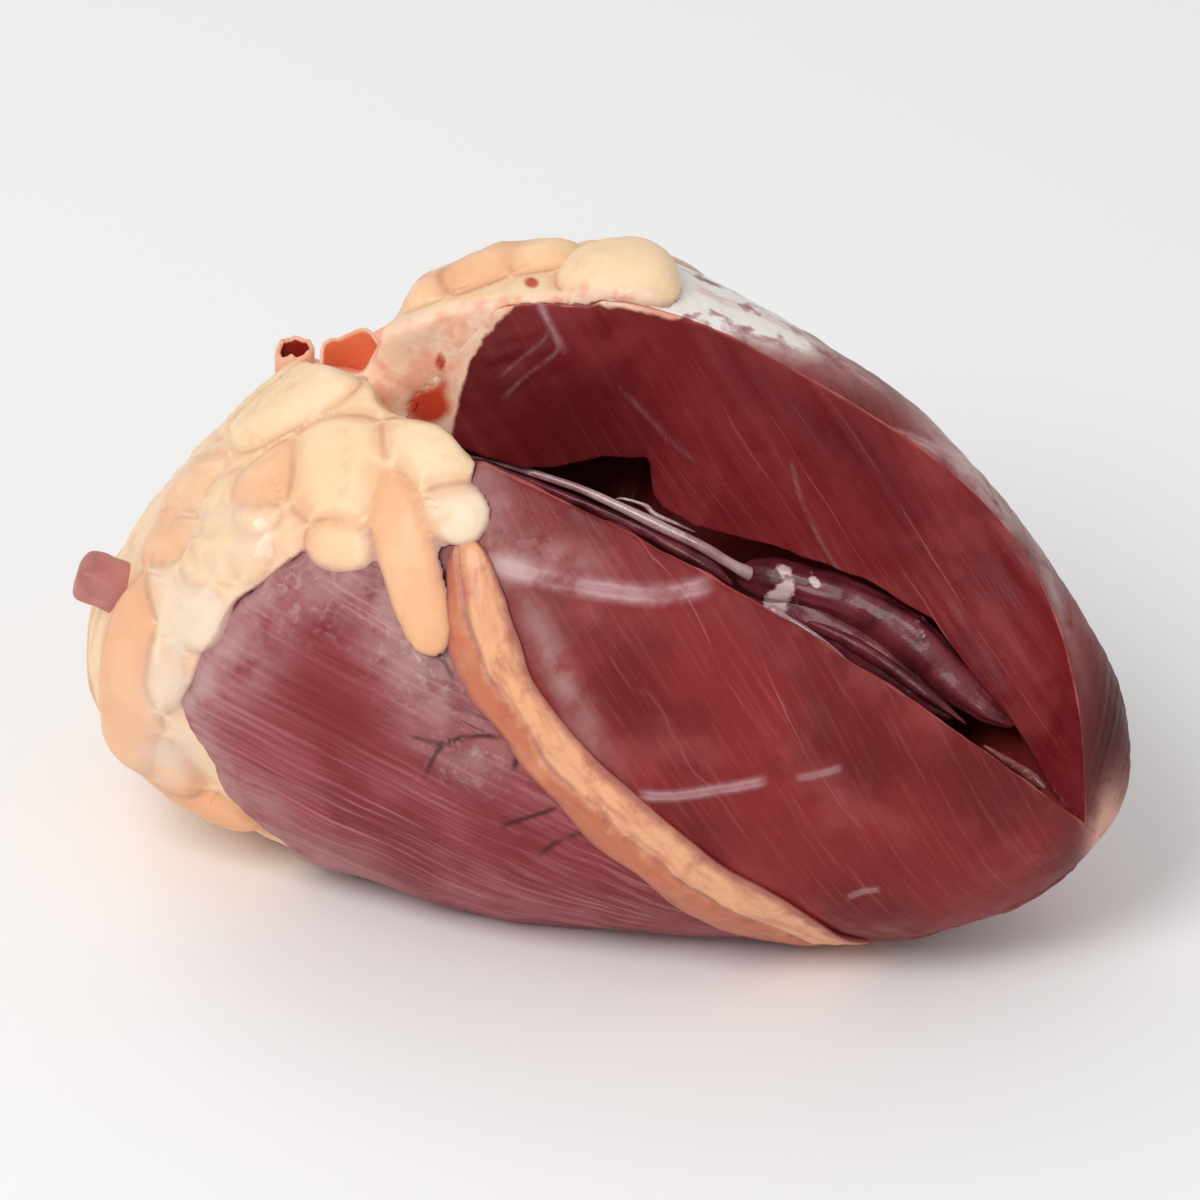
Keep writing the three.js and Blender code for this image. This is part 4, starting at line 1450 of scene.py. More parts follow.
@dataclass(frozen=True)
class Strand:
    """A tendon, film or muscle ridge that lies in the hollow or on the skin."""

    name: str
    path: Table
    radii: Table
    flat: float = 1.0
    folds: float = 0.0
    unevenness: float = 0.15
    steps: int = 60
    sides: int = 24

    def built(self, placing: Placing, noise: SolidNoise, pale: tuple[Patch, ...] = ()) -> Piece:
        """Makes the strand.

        Args:
            placing: Turns the show frame into the part's frame.
            noise: Noise for its unevenness.
            pale: Patches that are paler than the rest.

        Returns:
            The strand's object.
        """
        path = eased_path(self.path, self.steps)
        share = np.linspace(0, 1, self.steps)
        ends = np.sqrt(np.clip(1 - np.abs(2 * share - 1) ** 14, 0.0004, 1))
        points, out, angle = swept(path, along(self.radii, share) * ends, self.sides, self.flat)
        run = np.broadcast_to(share[:, None] * 40, angle.shape)
        round_it = np.stack([3 * np.cos(angle), 3 * np.sin(angle), run * 0.12], -1)
        fold = noise.layered(round_it, 1.3, 2)
        rough = noise.layered(points, 6, 2)
        height = self.folds * fold + self.unevenness * rough
        points = points + out * (height * ends[:, None])[..., None]
        traits = {"pale": masked(pale, points)} if pale else {}
        return tube(self.name, placing.to_part(points), traits)


@dataclass
class Hollow:
    """What lies in the hollow: two muscle ridges, the tendon strand and thin films."""

    ridges: tuple[Strand, ...] = (
        Strand(
            "papillary_ridge",
            (
                (22, 14, 4.5), (29.4, 15.4, 6), (36, 16.2, 6.5), (45, 16.8, 6.8), (54.7, 15.6, 7),
                (63.9, 13, 7), (71.2, 9.6, 7), (78, 6.8, 7), (84, 4.9, 7.5), (90, 3.6, 8),
            ),
            ((0, 3.4), (0.1, 4.9), (0.3, 4.8), (0.55, 5.6), (0.72, 4.6), (0.85, 3.4), (1, 1.6)),
            flat=0.85, folds=0.45, unevenness=0.35, steps=140, sides=64,
        ),
        Strand(
            "lower_ridge",
            (
                (26, 9.8, 3), (37.6, 10.4, 4), (47.6, 9, 4.5), (57.8, 6.6, 4.5), (66.9, 4, 4.5),
                (77, 0.6, 4),
            ),
            ((0, 4.2), (0.2, 5.4), (0.6, 5.8), (0.9, 4.2), (1, 2)),
            flat=0.85, folds=0.5, unevenness=0.35, steps=120, sides=56,
        ),
        Strand(
            "middle_ridge",
            ((40, 9.4, 9.4), (50, 8.6, 10), (60, 6.4, 10), (70, 3.4, 10), (80, 0.4, 9.6)),
            ((0, 0.8), (0.3, 1.7), (0.7, 1.5), (1, 0.5)),
            folds=0.15, unevenness=0.3, steps=80, sides=24,
        ),
        Strand(
            "lip_shelf",
            (
                (-44, 17.6, 9), (-35, 17.9, 9.6), (-25, 17.6, 10), (-10.5, 16.8, 10.2), (5, 15.2, 10),
                (15, 13.8, 9.6), (22, 11.6, 8),
            ),
            ((0, 0.4), (0.2, 0.8), (0.5, 1.3), (0.85, 1.5), (1, 0.9)),
            folds=0.2, unevenness=0.35, steps=100, sides=24,
        ),
        Strand(
            "back_ridge",
            ((-44, 12, -14), (-20, 9.5, -15.5), (5, 6, -17), (30, 2, -18)),
            ((0, 4), (0.3, 9), (0.7, 9), (1, 4)),
            folds=1.2, unevenness=0.6, steps=70, sides=40,
        ),
    )
    tendons: tuple[Strand, ...] = (
        Strand(
            "tendon_strand",
            (
                (-43, 18.2, 7), (-33.8, 19.4, 9.5), (-25.8, 19.7, 10.6), (-16.5, 19.9, 11.4),
                (-6.9, 19.2, 11.6), (2.8, 18.2, 11.4), (12.5, 17.2, 10.8), (18.9, 15.9, 10),
                (23.6, 15.2, 8.4), (28.5, 14.8, 5),
            ),
            ((0, 0.5), (0.25, 0.9), (0.6, 1.25), (0.8, 1.2), (0.92, 1.6), (1, 2.4)),
            flat=0.7, unevenness=0.1, steps=110, sides=20,
        ),
        Strand(
            "tendon_film",
            (
                (-8.5, 20.6, 7.5), (-6.5, 21.2, 8), (-2, 21.4, 8.4), (0.8, 20.3, 8.8), (5.4, 20, 8.6),
                (10.6, 19.6, 8),
            ),
            ((0, 0.2), (0.25, 0.35), (0.5, 0.5), (0.8, 0.4), (1, 0.2)),
            flat=0.5, unevenness=0.12,
        ),
        Strand(
            "ridge_tendon",
            ((31, 9.4, 10.6), (37.5, 8.4, 10.2), (44.5, 6.7, 10.2), (51, 4.5, 9.8)),
            ((0, 1.5), (0.3, 0.6), (0.8, 0.5), (1, 0.3)),
            flat=0.6, unevenness=0.15,
        ),
    )
    ledge: Strand = Strand(
        "apex_ledge",
        ((85, -2.6, 8), (91, -4, 9.6), (96, -5.2, 11), (101, -7, 12.4)),
        ((0, 0.4), (0.35, 0.9), (0.75, 1.4), (1, 0.6)),
        flat=0.6, unevenness=0.3,
    )
    # Pale patches on the ridges. The first is the white tendon cap at the papillary ridge's head; the
    # second and third are painted highlights, two small glints on it.
    pale: tuple[Patch, ...] = (
        Patch(32.4, 11.6, 3, 5.4, -16, 1.1), Patch(31.4, 18.6, 1.7, 1.3, 0, 1.1),
        Patch(38.6, 18.3, 1.6, 1.1, -30, 1.1), Patch(63.6, 16.4, 4.2, 2.4, -50, 0.5),
        Patch(-5.5, 22.5, 3, 1.4, 0, 0.6),
    )
    noise: SolidNoise = SolidNoise(31)

    def built(self, placing: Placing) -> tuple[list[Piece], list[Piece]]:
        """Makes the ridges and the tendons, in that order."""
        ridges = [ridge.built(placing, self.noise, self.pale) for ridge in self.ridges]
        return ridges, [tendon.built(placing, self.noise) for tendon in (*self.tendons, self.ledge)]


@dataclass(frozen=True)
class GrooveBand:
    """A band of fat that lies in a groove of the heart."""

    name: str
    path: Table
    half_widths: Table
    height: float
    lift: float = 0.2
    root: float = 3.0
    valley: float = 0.8
    valley_at: float = 0.4
    flat_end: float = 0.0
    tail: Table = ()
    in_show_plane: bool = True
    steps: int = 220
    sides: int = 56

    def centre(self, form: HeartForm) -> tuple[Array, Array]:
        """Stations and angles of the band's middle line.

        Args:
            form: The body that it lies on.

        Returns:
            Stations, and angles in degrees.
        """
        path = np.array(self.path, float)
        if self.in_show_plane:
            s = form.station(path[:, 0], path[:, 1])
            path = np.stack([s, form.degrees_of(s, path[:, 1])], -1)
        line = eased_path([*path.tolist(), *self.tail], self.steps)
        return line[:, 0], line[:, 1]

    def built(self, form: HeartForm, placing: Placing, noise: SolidNoise) -> Piece:
        """Makes the band.

        Args:
            form: The body that it lies on.
            placing: Turns the show frame into the part's frame.
            noise: Noise for its lumps.

        Returns:
            The band's object.
        """
        s, degrees = self.centre(form)
        share = np.linspace(0, 1, self.steps)
        middle = form.surface(s, degrees, self.lift)
        way = unit(np.gradient(middle, axis=0))
        out = unit(form.surface(s, degrees, 1.0) - form.surface(s, degrees, 0.0))
        side = unit(np.cross(way, out))
        ends = np.minimum(1, np.minimum(0.1 + 7 * share, 0.1 + 7 * (1 - share)))
        half = along(self.half_widths, share) * ends
        wave = np.stack([share * 100, share * 0, share * 0], -1)
        angle = np.linspace(0, 2 * np.pi, self.sides, endpoint=False)[None, :]
        swell = np.where(np.cos(angle) > 0, noise.at(wave, 6)[:, None], noise.at(wave + 30, 7)[:, None])
        across = np.cos(angle) * half[:, None] * (1 + 0.14 * swell)
        rise = np.abs(np.sin(angle))
        height = self.height * (1 - self.flat_end * smooth((share - 0.55) / 0.25))[:, None]
        shape = np.where(np.sin(angle) > 0, rise**1.2 * height, -rise * self.root)
        flat = middle[:, None] + side[:, None] * across[..., None]
        hang = form.coordinates(flat)[2] - self.lift
        points = flat + out[:, None] * (shape * ends[:, None] - 0.9 * hang)[..., None]
        top = np.clip(np.sin(angle), 0, 1)
        wander = 1.6 * noise.layered(wave + 7, 18, 2) + 0.5 * noise.at(wave + 3, 5) + self.valley_at
        valley = across - wander[:, None]
        run = np.broadcast_to(share[:, None] * 14, across.shape)
        strands = noise.layered(np.stack([across, run, across * 0], -1), 2.2, 2)
        lumps = 0.6 * noise.layered(points, 7, 2) + 0.2 * noise.at(points, 2.6) + 0.35 * strands
        lumps = lumps - self.valley * bell(valley / 0.9)
        points = points + out[:, None] * (lumps * top)[..., None]
        edge = np.broadcast_to(np.abs(np.cos(angle)), points.shape[:2])
        traits = {
            "edge": edge,
            "valley": np.where(np.sin(angle) > 0.05, valley, 9.0),
            "run": np.repeat(share, self.sides),
        }
        return tube(self.name, placing.to_part(points), traits)


@dataclass
class Grooves:
    """The fat bands of the front and the back groove."""

    form: HeartForm
    front: GrooveBand = GrooveBand(
        "front_band",
        (
            (-37, 3), (-33, -4), (-25.4, -17.6), (-17.4, -26.4), (-7.4, -33.1), (5.3, -40.4),
            (20.6, -47.2), (34.4, -51.6), (46, -54.2), (56, -55.6),
        ),
        (
            (0, 5.6), (0.1, 7), (0.2, 7.8), (0.32, 6.8), (0.44, 7.6), (0.56, 7.8), (0.66, 9.2),
            (0.76, 10), (0.88, 8), (1, 4),
        ),
        2.0, flat_end=0.85, tail=((66, -86), (76, -98), (86, -112)),
    )
    back: GrooveBand = GrooveBand(
        "back_band", HeartForm.back_groove,
        ((0, 8), (0.3, 7), (0.6, 6.5), (0.85, 4.8), (1, 3.2)), 1.8, in_show_plane=False,
    )
    noise: SolidNoise = SolidNoise(41)

    def built(self, placing: Placing) -> dict[str, Piece]:
        """Makes the bands, listed by the CAD node that they dress."""
        bands = {"front_groove_fat": self.front, "back_groove_fat": self.back}
        return {node: band.built(self.form, placing, self.noise) for node, band in bands.items()}


@dataclass(frozen=True)
class Vessel:
    """A cut vessel: a tube with a ragged rim, between two points of the show frame."""

    name: str
    start: tuple[float, float, float]
    end: tuple[float, float, float]
    outer: float
    inner: float
    ragged: float
    seed: int
    sides: int = 64

    def built(self, placing: Placing) -> Piece:
        """Makes the vessel.

        Args:
            placing: Turns the show frame into the part's frame.

        Returns:
            The vessel's object.
        """
        start, end = np.array(self.start), np.array(self.end)
        way = end - start
        noise = SolidNoise(self.seed)
        angle = np.linspace(0, 2 * np.pi, self.sides, endpoint=False)
        side = unit(np.cross(way, [0.0, 0.0, 1.0]))
        out = unit(np.cross(side, way))
        spoke = np.cos(angle)[:, None] * side + np.sin(angle)[:, None] * out
        rim = 1 - self.ragged * (0.5 + 0.5 * noise.layered(4 * spoke, 2.2, 2))
        outer, wall = self.outer, self.outer - self.inner
        profile = [(t, outer) for t in np.linspace(0, 0.94, 14)]
        profile += [(0.98, outer - 0.2 * wall), (1.0, outer - 0.5 * wall), (0.98, outer - 0.8 * wall)]
        profile += [(t, self.inner) for t in np.linspace(0.94, 0.08, 14)]
        rows = []
        for t, radius in profile:
            reach = radius * (1 + 0.07 * noise.at(3 * spoke + t, 1.9))
            rows.append(start + (t * rim)[:, None] * way + reach[:, None] * spoke)
        depth = np.repeat([1.0 if n > 16 else 0.0 for n in range(len(profile))], self.sides)
        return tube(self.name, placing.to_part(np.array(rows)), {"inside": depth}, joined=0.0)


@dataclass(frozen=True)
class TissueScrap:
    """The small rough block of tissue at the far end of the base."""

    at: tuple[float, float, float] = (-107.5, -35, 22)
    size: tuple[float, float, float] = (14, 10.5, 11)
    turn: tuple[float, float, float] = (0.3, 0.35, -0.2)

    def built(self, placing: Placing) -> Piece:
        """Makes the block, as a rounded box with an uneven skin.

        Args:
            placing: Turns the show frame into the part's frame.

        Returns:
            The block's object.
        """
        polar = np.linspace(0, np.pi, 40)[:, None]
        around = np.linspace(0, 2 * np.pi, 64, endpoint=False)[None, :]

        def squared(x: Array) -> Array:
            """Sine or cosine pushed out towards a square."""
            return np.sign(x) * np.abs(x) ** 0.42

        wide = squared(np.sin(polar))
        sides = wide * squared(np.cos(around)), wide * squared(np.sin(around)), squared(np.cos(polar))
        block = np.stack(np.broadcast_arrays(*sides), -1) * (np.array(self.size) / 2 * 0.94)
        noise = SolidNoise(51)
        block = block * (1 + 0.07 * noise.layered(block, 5, 2))[..., None]
        turned = block @ np.array(Euler(self.turn).to_matrix()).T
        middle = placing.to_part(np.array([self.at])) / MM
        return tube("tissue_scrap", (turned + middle) * MM, {})


class Sheet:
    """Adds nodes to a node tree in short calls."""

    def __init__(self, tree: Tree) -> None:
        """Keeps the node tree of a material or a group."""
        self.tree = tree

    def add(self, kind: str, inputs: dict | None = None, **settings: object) -> Node:
        """Adds a node.

        Args:
            kind: The node's type.
            inputs: Values or sockets for its inputs, by name or number.
            **settings: Values of its properties.

        Returns:
            The node.
        """
        node = self.tree.nodes.new(kind)
        for name, value in settings.items():
            setattr(node, name, value)
        for key, value in (inputs or {}).items():
            self.feed(node.inputs[key], value)
        return node

    def feed(self, socket: Socket, value: object) -> None:
        """Links a socket to an input, or sets the input's own value.

        Args:
            socket: The node's input.
            value: A socket or a plain value.
        """
        if isinstance(value, Socket):
            self.tree.links.new(value, socket)
        else:
            socket.default_value = value

    def math(self, operation: str, *values: object) -> Socket:
        """Result of a math node."""
        return self.add("ShaderNodeMath", dict(enumerate(values)), operation=operation).outputs[0]

    def times(self, first: object, second: object) -> Socket:
        """Product of two values."""
        return self.math("MULTIPLY", first, second)

    def plus(self, first: object, second: object) -> Socket:
        """Sum of two values."""
        return self.math("ADD", first, second)

    def about(self, value: object, width: float) -> Socket:
        """Value from 0 to 1 spread over a width, with zero in its middle."""
        return self.math("MULTIPLY_ADD", value, width, -width / 2)

    def place(self) -> Socket:
        """Place on the object, in metres."""
        return self.add("ShaderNodeTexCoord").outputs["Object"]

    def mixed(self, share: object, first: object, second: object) -> Socket:
        """Colour between two colours."""
        node = self.add("ShaderNodeMix", {0: share, 6: first, 7: second}, data_type="RGBA")
        return node.outputs[2]

    def stepped(self, value: object, low: float, high: float, top: float = 1.0) -> Socket:
        """Eased step from 0 at the low value to the top at the high value."""
        inputs = {0: value, 1: low, 2: high, 3: 0.0, 4: top}
        return self.add("ShaderNodeMapRange", inputs, interpolation_type="SMOOTHSTEP").outputs[0]

    def trait(self, name: str) -> Socket:
        """Number that the mesh carries at its points."""
        return self.add("ShaderNodeAttribute", attribute_name=name).outputs["Fac"]

    def noise(self, vector: object, scale: float, detail: float = 3.0, rough: float = 0.55) -> Socket:
        """Noise from 0 to 1."""
        inputs = {"Vector": vector, "Scale": scale, "Detail": detail, "Roughness": rough}
        return self.add("ShaderNodeTexNoise", inputs).outputs["Fac"]

    def group(self, tree: Tree, **inputs: object) -> Node:
        """Adds a node group with values or sockets for its inputs."""
        named = {name.capitalize(): value for name, value in inputs.items()}
        return self.add("ShaderNodeGroup", named, node_tree=tree)


def new_group(name: str, inputs: Sequence[str], outputs: Sequence[str]) -> tuple[Sheet, dict, Node]:
    """Starts a shader node group whose inputs and outputs are numbers.

    Args:
        name: The group's name.
        inputs: Names of its inputs.
        outputs: Names of its outputs.

    Returns:
        A sheet on the group, its inputs' sockets by name, and its output node.
    """
    tree = bpy.data.node_groups.new(name, "ShaderNodeTree")
    for label in inputs:
        tree.interface.new_socket(label, in_out="INPUT", socket_type="NodeSocketFloat")
    for label in outputs:
        tree.interface.new_socket(label, in_out="OUTPUT", socket_type="NodeSocketFloat")
    sheet = Sheet(tree)
    start = sheet.add("NodeGroupInput")
    end = sheet.add("NodeGroupOutput")
    return sheet, {label: start.outputs[label] for label in inputs}, end


def fibre_group() -> Tree:
    """Grain of muscle: soft streaks, thin pale lines and fine grain along the fibres.

    Returns:
        The group's node tree.
    """
    names = ("Across", "Along", "Spacing")
    sheet, inputs, end = new_group("Muscle fibre", names, ("Streaks", "Lines", "Grain"))

    def stretched(across: float, along_it: float, detail: float) -> Socket:
        """Noise squeezed across the fibres and drawn out along them."""
        place = {0: sheet.times(inputs["Across"], across), 1: sheet.times(inputs["Along"], along_it)}
        return sheet.noise(sheet.add("ShaderNodeCombineXYZ", place).outputs[0], 1.0, detail)

    wander = sheet.times(stretched(0.05, 0.016, 3.0), 2.6)
    phase = sheet.plus(sheet.math("DIVIDE", inputs["Across"], inputs["Spacing"]), wander)
    row = sheet.math("FLOOR", phase)
    away = sheet.math("ABSOLUTE", sheet.math("SUBTRACT", sheet.math("FRACT", phase), 0.5))
    away = sheet.times(away, inputs["Spacing"])
    chance = sheet.add("ShaderNodeTexWhiteNoise", {"W": row}, noise_dimensions="1D").outputs["Value"]
    place = {0: sheet.times(inputs["Along"], 0.035), 1: sheet.times(row, 3.7)}
    gaps = sheet.noise(sheet.add("ShaderNodeCombineXYZ", place).outputs[0], 1.0, 2.0)
    broken = sheet.stepped(gaps, 0.4, 0.62)
    thin = sheet.math("SUBTRACT", 1.0, sheet.stepped(away, 0.04, 0.3))
    lines = sheet.times(sheet.times(thin, broken), chance)
    sheet.feed(end.inputs["Streaks"], stretched(0.8, 0.04, 4.0))
    sheet.feed(end.inputs["Lines"], lines)
    sheet.feed(end.inputs["Grain"], stretched(2.2, 0.16, 3.0))
    return sheet.tree


def mottle_group() -> Tree:
    """Blotches in space: broad, small and fine, for a blotch size in millimetres.

    Returns:
        The group's node tree.
    """
    sheet, inputs, end = new_group("Mottle", ("Size",), ("Broad", "Small", "Fine"))
    place = sheet.place()
    share = sheet.math("DIVIDE", 1000.0, inputs["Size"])
    vector = sheet.add("ShaderNodeVectorMath", {0: place, "Scale": share}, operation="SCALE").outputs[0]
    sheet.feed(end.inputs["Broad"], sheet.noise(vector, 1.0, 2.0))
    sheet.feed(end.inputs["Small"], sheet.noise(vector, 3.7, 3.0))
    sheet.feed(end.inputs["Fine"], sheet.noise(vector, 13.0, 2.0))
    return sheet.tree


def edge_line_group() -> Tree:
    """Thin line where a distance passes zero: 1 on the line, 0 a width away.

    Returns:
        The group's node tree.
    """
    sheet, inputs, end = new_group("Edge line", ("Distance", "Width"), ("Mask",))
    away = sheet.math("DIVIDE", sheet.math("ABSOLUTE", inputs["Distance"]), inputs["Width"])
    sheet.feed(end.inputs["Mask"], sheet.math("SUBTRACT", 1.0, sheet.stepped(away, 0.0, 1.0)))
    return sheet.tree


@dataclass(frozen=True)
class Effects:
    """The node groups that the finishes share."""

    fibre: Tree = field(default_factory=fibre_group)
    mottle: Tree = field(default_factory=mottle_group)
    edge_line: Tree = field(default_factory=edge_line_group)


class Tissue:
    """A material in the making: its sheet, and its Principled shader as the end."""

    def __init__(self, name: str, effects: Effects) -> None:
        """Starts the material.

        Args:
            name: The material's name.
            effects: The shared node groups.
        """
        self.material = bpy.data.materials.new(name)
        self.material.use_nodes = True
        self.material.node_tree.nodes.clear()
        self.sheet = Sheet(self.material.node_tree)
        self.effects = effects
        self.colour: Socket | None = None

    def lay(self, share: Socket, colour: Socket | Colour) -> None:
        """Lays a colour over the tissue's colour."""
        self.colour = self.sheet.mixed(share, self.colour, colour)

    def mottle(self, size: float) -> Sockets:
        """Outputs of the blotches' group for a size in millimetres."""
        return self.sheet.group(self.effects.mottle, size=size).outputs

    def line(self, distance: Socket, width: float) -> Socket:
        """Mask of a thin line where a distance passes zero."""
        return self.sheet.group(self.effects.edge_line, distance=distance, width=width).outputs["Mask"]

    def uneven(self, grain: Socket, mottle: Sockets) -> Socket:
        """Bump height of a grain with fine blotches on it."""
        return self.sheet.plus(self.sheet.times(grain, 0.6), self.sheet.times(mottle["Fine"], 0.4))

    def rough(self, mottle: Sockets, least: float, spread: float) -> Socket:
        """Roughness that rises with the small blotches."""
        return self.sheet.plus(self.sheet.stepped(mottle["Small"], 0.25, 0.75, spread), least)

    def finished(self, height: Socket, depth_mm: float, **values: object) -> Material:
        """Ends the material with its shader over the colour laid down so far.

        Args:
            height: Bump height from 0 to 1.
            depth_mm: Depth of the bumps.
            **values: The shader's inputs, with underscores for spaces.

        Returns:
            The material.
        """
        relief = {"Height": height, "Distance": depth_mm * MM, "Strength": 1.0}
        bump = self.sheet.add("ShaderNodeBump", relief)
        inputs = {name.replace("_", " "): value for name, value in values.items()}
        inputs |= {"Base Color": self.colour, "Normal": bump.outputs[0]}
        shader = self.sheet.add("ShaderNodeBsdfPrincipled", inputs)
        self.sheet.add("ShaderNodeOutputMaterial", {"Surface": shader.outputs[0]})
        return self.material


@dataclass(frozen=True)
class MuscleFinish:
    """Raw muscle: thick left side, thin right side, cut faces and the hollow."""

    left: Colour = srgb(130, 32, 33)
    left_dark: Colour = srgb(104, 20, 22)
    left_light: Colour = srgb(166, 78, 76)
    left_shade: Colour = srgb(74, 8, 12)
    right: Colour = srgb(152, 71, 77)
    right_dark: Colour = srgb(118, 28, 32)
    right_pale: Colour = srgb(176, 112, 114)
    face: Colour = srgb(130, 36, 40)
    face_dark: Colour = srgb(108, 26, 30)
    face_light: Colour = srgb(150, 56, 56)
    shaded: Colour = srgb(86, 18, 23)
    hollow: Colour = srgb(124, 40, 38)
    film: Colour = srgb(196, 160, 156)
    silver_and_sheen: Colour = srgb(246, 238, 232)
    fatty: Colour = srgb(214, 160, 142)
    vein: Colour = srgb(204, 168, 172)
    crease: Colour = srgb(64, 20, 26)
    lip: Colour = srgb(196, 108, 96)
    annulus: Colour = srgb(248, 210, 182)
    annulus_pink: Colour = srgb(236, 172, 144)
    # Pale pink of the painted highlight along the cut's rims.
    spot: Colour = srgb(196, 66, 40)
    line: Colour = srgb(190, 122, 120)

    def on_skin(self, tissue: Tissue, mottle: Sockets, streaks: Socket, lines: Socket) -> Socket:
        """Colour of the outer skin before film and veins, with painted shade on the side near the apex.

        Args:
            tissue: The material in the making.
            mottle: Its blotches.
            streaks: Its fibre streaks.
            lines: Its thin fibre lines.

        Returns:
            The colour.
        """
        sheet = tissue.sheet
        left = sheet.mixed(sheet.stepped(mottle["Broad"], 0.4, 0.66), self.left, self.left_dark)
        left = sheet.mixed(sheet.stepped(streaks, 0.48, 0.8, 0.42), left, self.left_light)
        cloud = sheet.noise(sheet.place(), 52.0, 3.0)
        left = sheet.mixed(sheet.stepped(cloud, 0.5, 0.72, 0.38), left, self.left_light)
        # Painted shade: the left skin is darkened towards left_shade on the shaded side near the apex.
        left = sheet.mixed(sheet.times(sheet.trait("dark_red_and_shade"), 0.9), left, self.left_shade)
        thin = sheet.mixed(sheet.stepped(mottle["Broad"], 0.42, 0.64, 0.7), self.right, self.right_dark)
        thin = sheet.mixed(sheet.stepped(streaks, 0.5, 0.3, 0.65), thin, self.right_dark)
        thin = sheet.mixed(sheet.stepped(streaks, 0.48, 0.7, 0.8), thin, self.right_pale)
        # The thin right side's darker red patches, the tissue's own colour.
        thin = sheet.mixed(sheet.times(sheet.trait("dark_red_and_shade"), 0.8), thin, self.right_dark)
        skin = sheet.mixed(sheet.trait("right"), left, thin)
        seen = sheet.times(sheet.times(lines, 0.6), sheet.trait("lined"))
        return sheet.mixed(seen, skin, self.line)

    def on_face(self, tissue: Tissue, mottle: Sockets, streaks: Socket, lines: Socket) -> Socket:
        """Colour of the cut faces and of the hollow, with painted shade on the upper face.

        Args:
            tissue: The material in the making.
            mottle: Its blotches.
            streaks: Its fibre streaks.
            lines: Its thin fibre lines.

        Returns:
            The colour.
        """
        sheet = tissue.sheet
        face = sheet.mixed(sheet.stepped(mottle["Broad"], 0.38, 0.66, 0.8), self.face, self.face_dark)
        face = sheet.mixed(sheet.stepped(streaks, 0.48, 0.76, 0.42), face, self.face_light)
        cloud = sheet.noise(sheet.place(), 70.0, 3.0)
        face = sheet.mixed(sheet.stepped(cloud, 0.52, 0.7, 0.5), face, self.face_light)
        # Painted shade: two patches of the upper cut face, the larger towards its left end, are
        # darkened towards shaded.
        face = sheet.mixed(sheet.times(sheet.trait("dark_red_and_shade"), 0.85), face, self.shaded)
        seen = sheet.times(sheet.times(lines, 0.6), sheet.trait("lined"))
        face = sheet.mixed(seen, face, self.line)
        face = sheet.mixed(sheet.stepped(sheet.trait("inner"), -1.0, 4), face, self.hollow)
        pale = sheet.mixed(sheet.stepped(mottle["Small"], 0.42, 0.66), self.annulus, self.annulus_pink)
        wavy = sheet.about(mottle["Small"], 4.0)
        past = sheet.stepped(sheet.plus(sheet.trait("past_muscle"), wavy), -0.5, 0.6)
        face = sheet.mixed(past, face, pale)
        return sheet.mixed(sheet.stepped(sheet.trait("spot"), 0.3, 0.9), face, self.spot)

    def built(self, effects: Effects) -> Material:
        """Makes the material.

        Args:
            effects: The node groups that the finishes share.

        Returns:
            The material.
        """
        tissue = Tissue("muscle", effects)
        sheet = tissue.sheet
        mottle = tissue.mottle(26)
        place = {"across": sheet.trait("across"), "along": sheet.trait("along")}
        fibre = sheet.group(effects.fibre, spacing=8.0, **place).outputs
        close = sheet.group(effects.fibre, spacing=3.4, **place).outputs
        lip = sheet.trait("lip")
        skin = self.on_skin(tissue, mottle, fibre["Streaks"], fibre["Lines"])
        face = self.on_face(tissue, mottle, fibre["Streaks"], close["Lines"])
        tissue.colour = sheet.mixed(sheet.stepped(lip, -0.25, 0.25), face, skin)

        film = sheet.times(sheet.trait("film"), sheet.stepped(mottle["Small"], 0.2, 0.66, 0.9))
        tissue.lay(film, self.film)
        # Where the film is strongest, along the top and right back edges, it turns near white: silvery
        # film with painted sheen.
        tissue.lay(sheet.stepped(film, 0.9, 1.6), self.silver_and_sheen)
        fatty = sheet.times(sheet.trait("fatty"), sheet.stepped(mottle["Small"], 0.2, 0.55))
        tissue.lay(fatty, self.fatty)
        # Painted highlight: the crests of the wrinkles on the skin get the pale film colour, a network
        # of glints; the same crests also raise the bump.
        highlit_crests = sheet.stepped(sheet.noise(sheet.place(), 420, 2.0), 0.52, 0.68)
        highlit_crests = sheet.times(highlit_crests, sheet.times(sheet.trait("wrinkle"), 0.5))
        highlit_crests = sheet.times(highlit_crests, sheet.stepped(lip, -0.25, 0.25))
        tissue.lay(highlit_crests, self.film)
        wander = sheet.about(mottle["Fine"], 0.8)
        away = sheet.plus(sheet.math("ABSOLUTE", sheet.trait("vein")), wander)
        walls = sheet.times(tissue.line(sheet.math("SUBTRACT", away, 0.8), 1.1), 0.75)
        middle = sheet.math("SUBTRACT", 0.6, sheet.stepped(away, 0.2, 2.8, 0.6))
        vein = sheet.times(sheet.math("MAXIMUM", walls, middle), sheet.trait("vein_shown"))
        vein = sheet.times(vein, sheet.stepped(mottle["Small"], 0.15, 0.65, 0.95))
        tissue.lay(vein, self.vein)
        crease = sheet.times(tissue.line(sheet.trait("crease"), 2.7), sheet.trait("crease_shown"))
        crease = sheet.times(crease, sheet.stepped(mottle["Small"], 0.15, 0.5, 0.95))
        tissue.lay(crease, self.crease)
        # Painted highlight: broken pale pink lines along both lips and along the inner edges of the cut
        # faces, light caught by the cut's rims.
        rim = sheet.times(tissue.line(lip, 0.6), sheet.stepped(mottle["Small"], 0.25, 0.65, 0.65))
        tissue.lay(rim, self.lip)
        edge = tissue.line(sheet.trait("inner"), 0.8)
        edge = sheet.times(edge, sheet.stepped(mottle["Fine"], 0.46, 0.7, 0.5))
        tissue.lay(edge, self.lip)

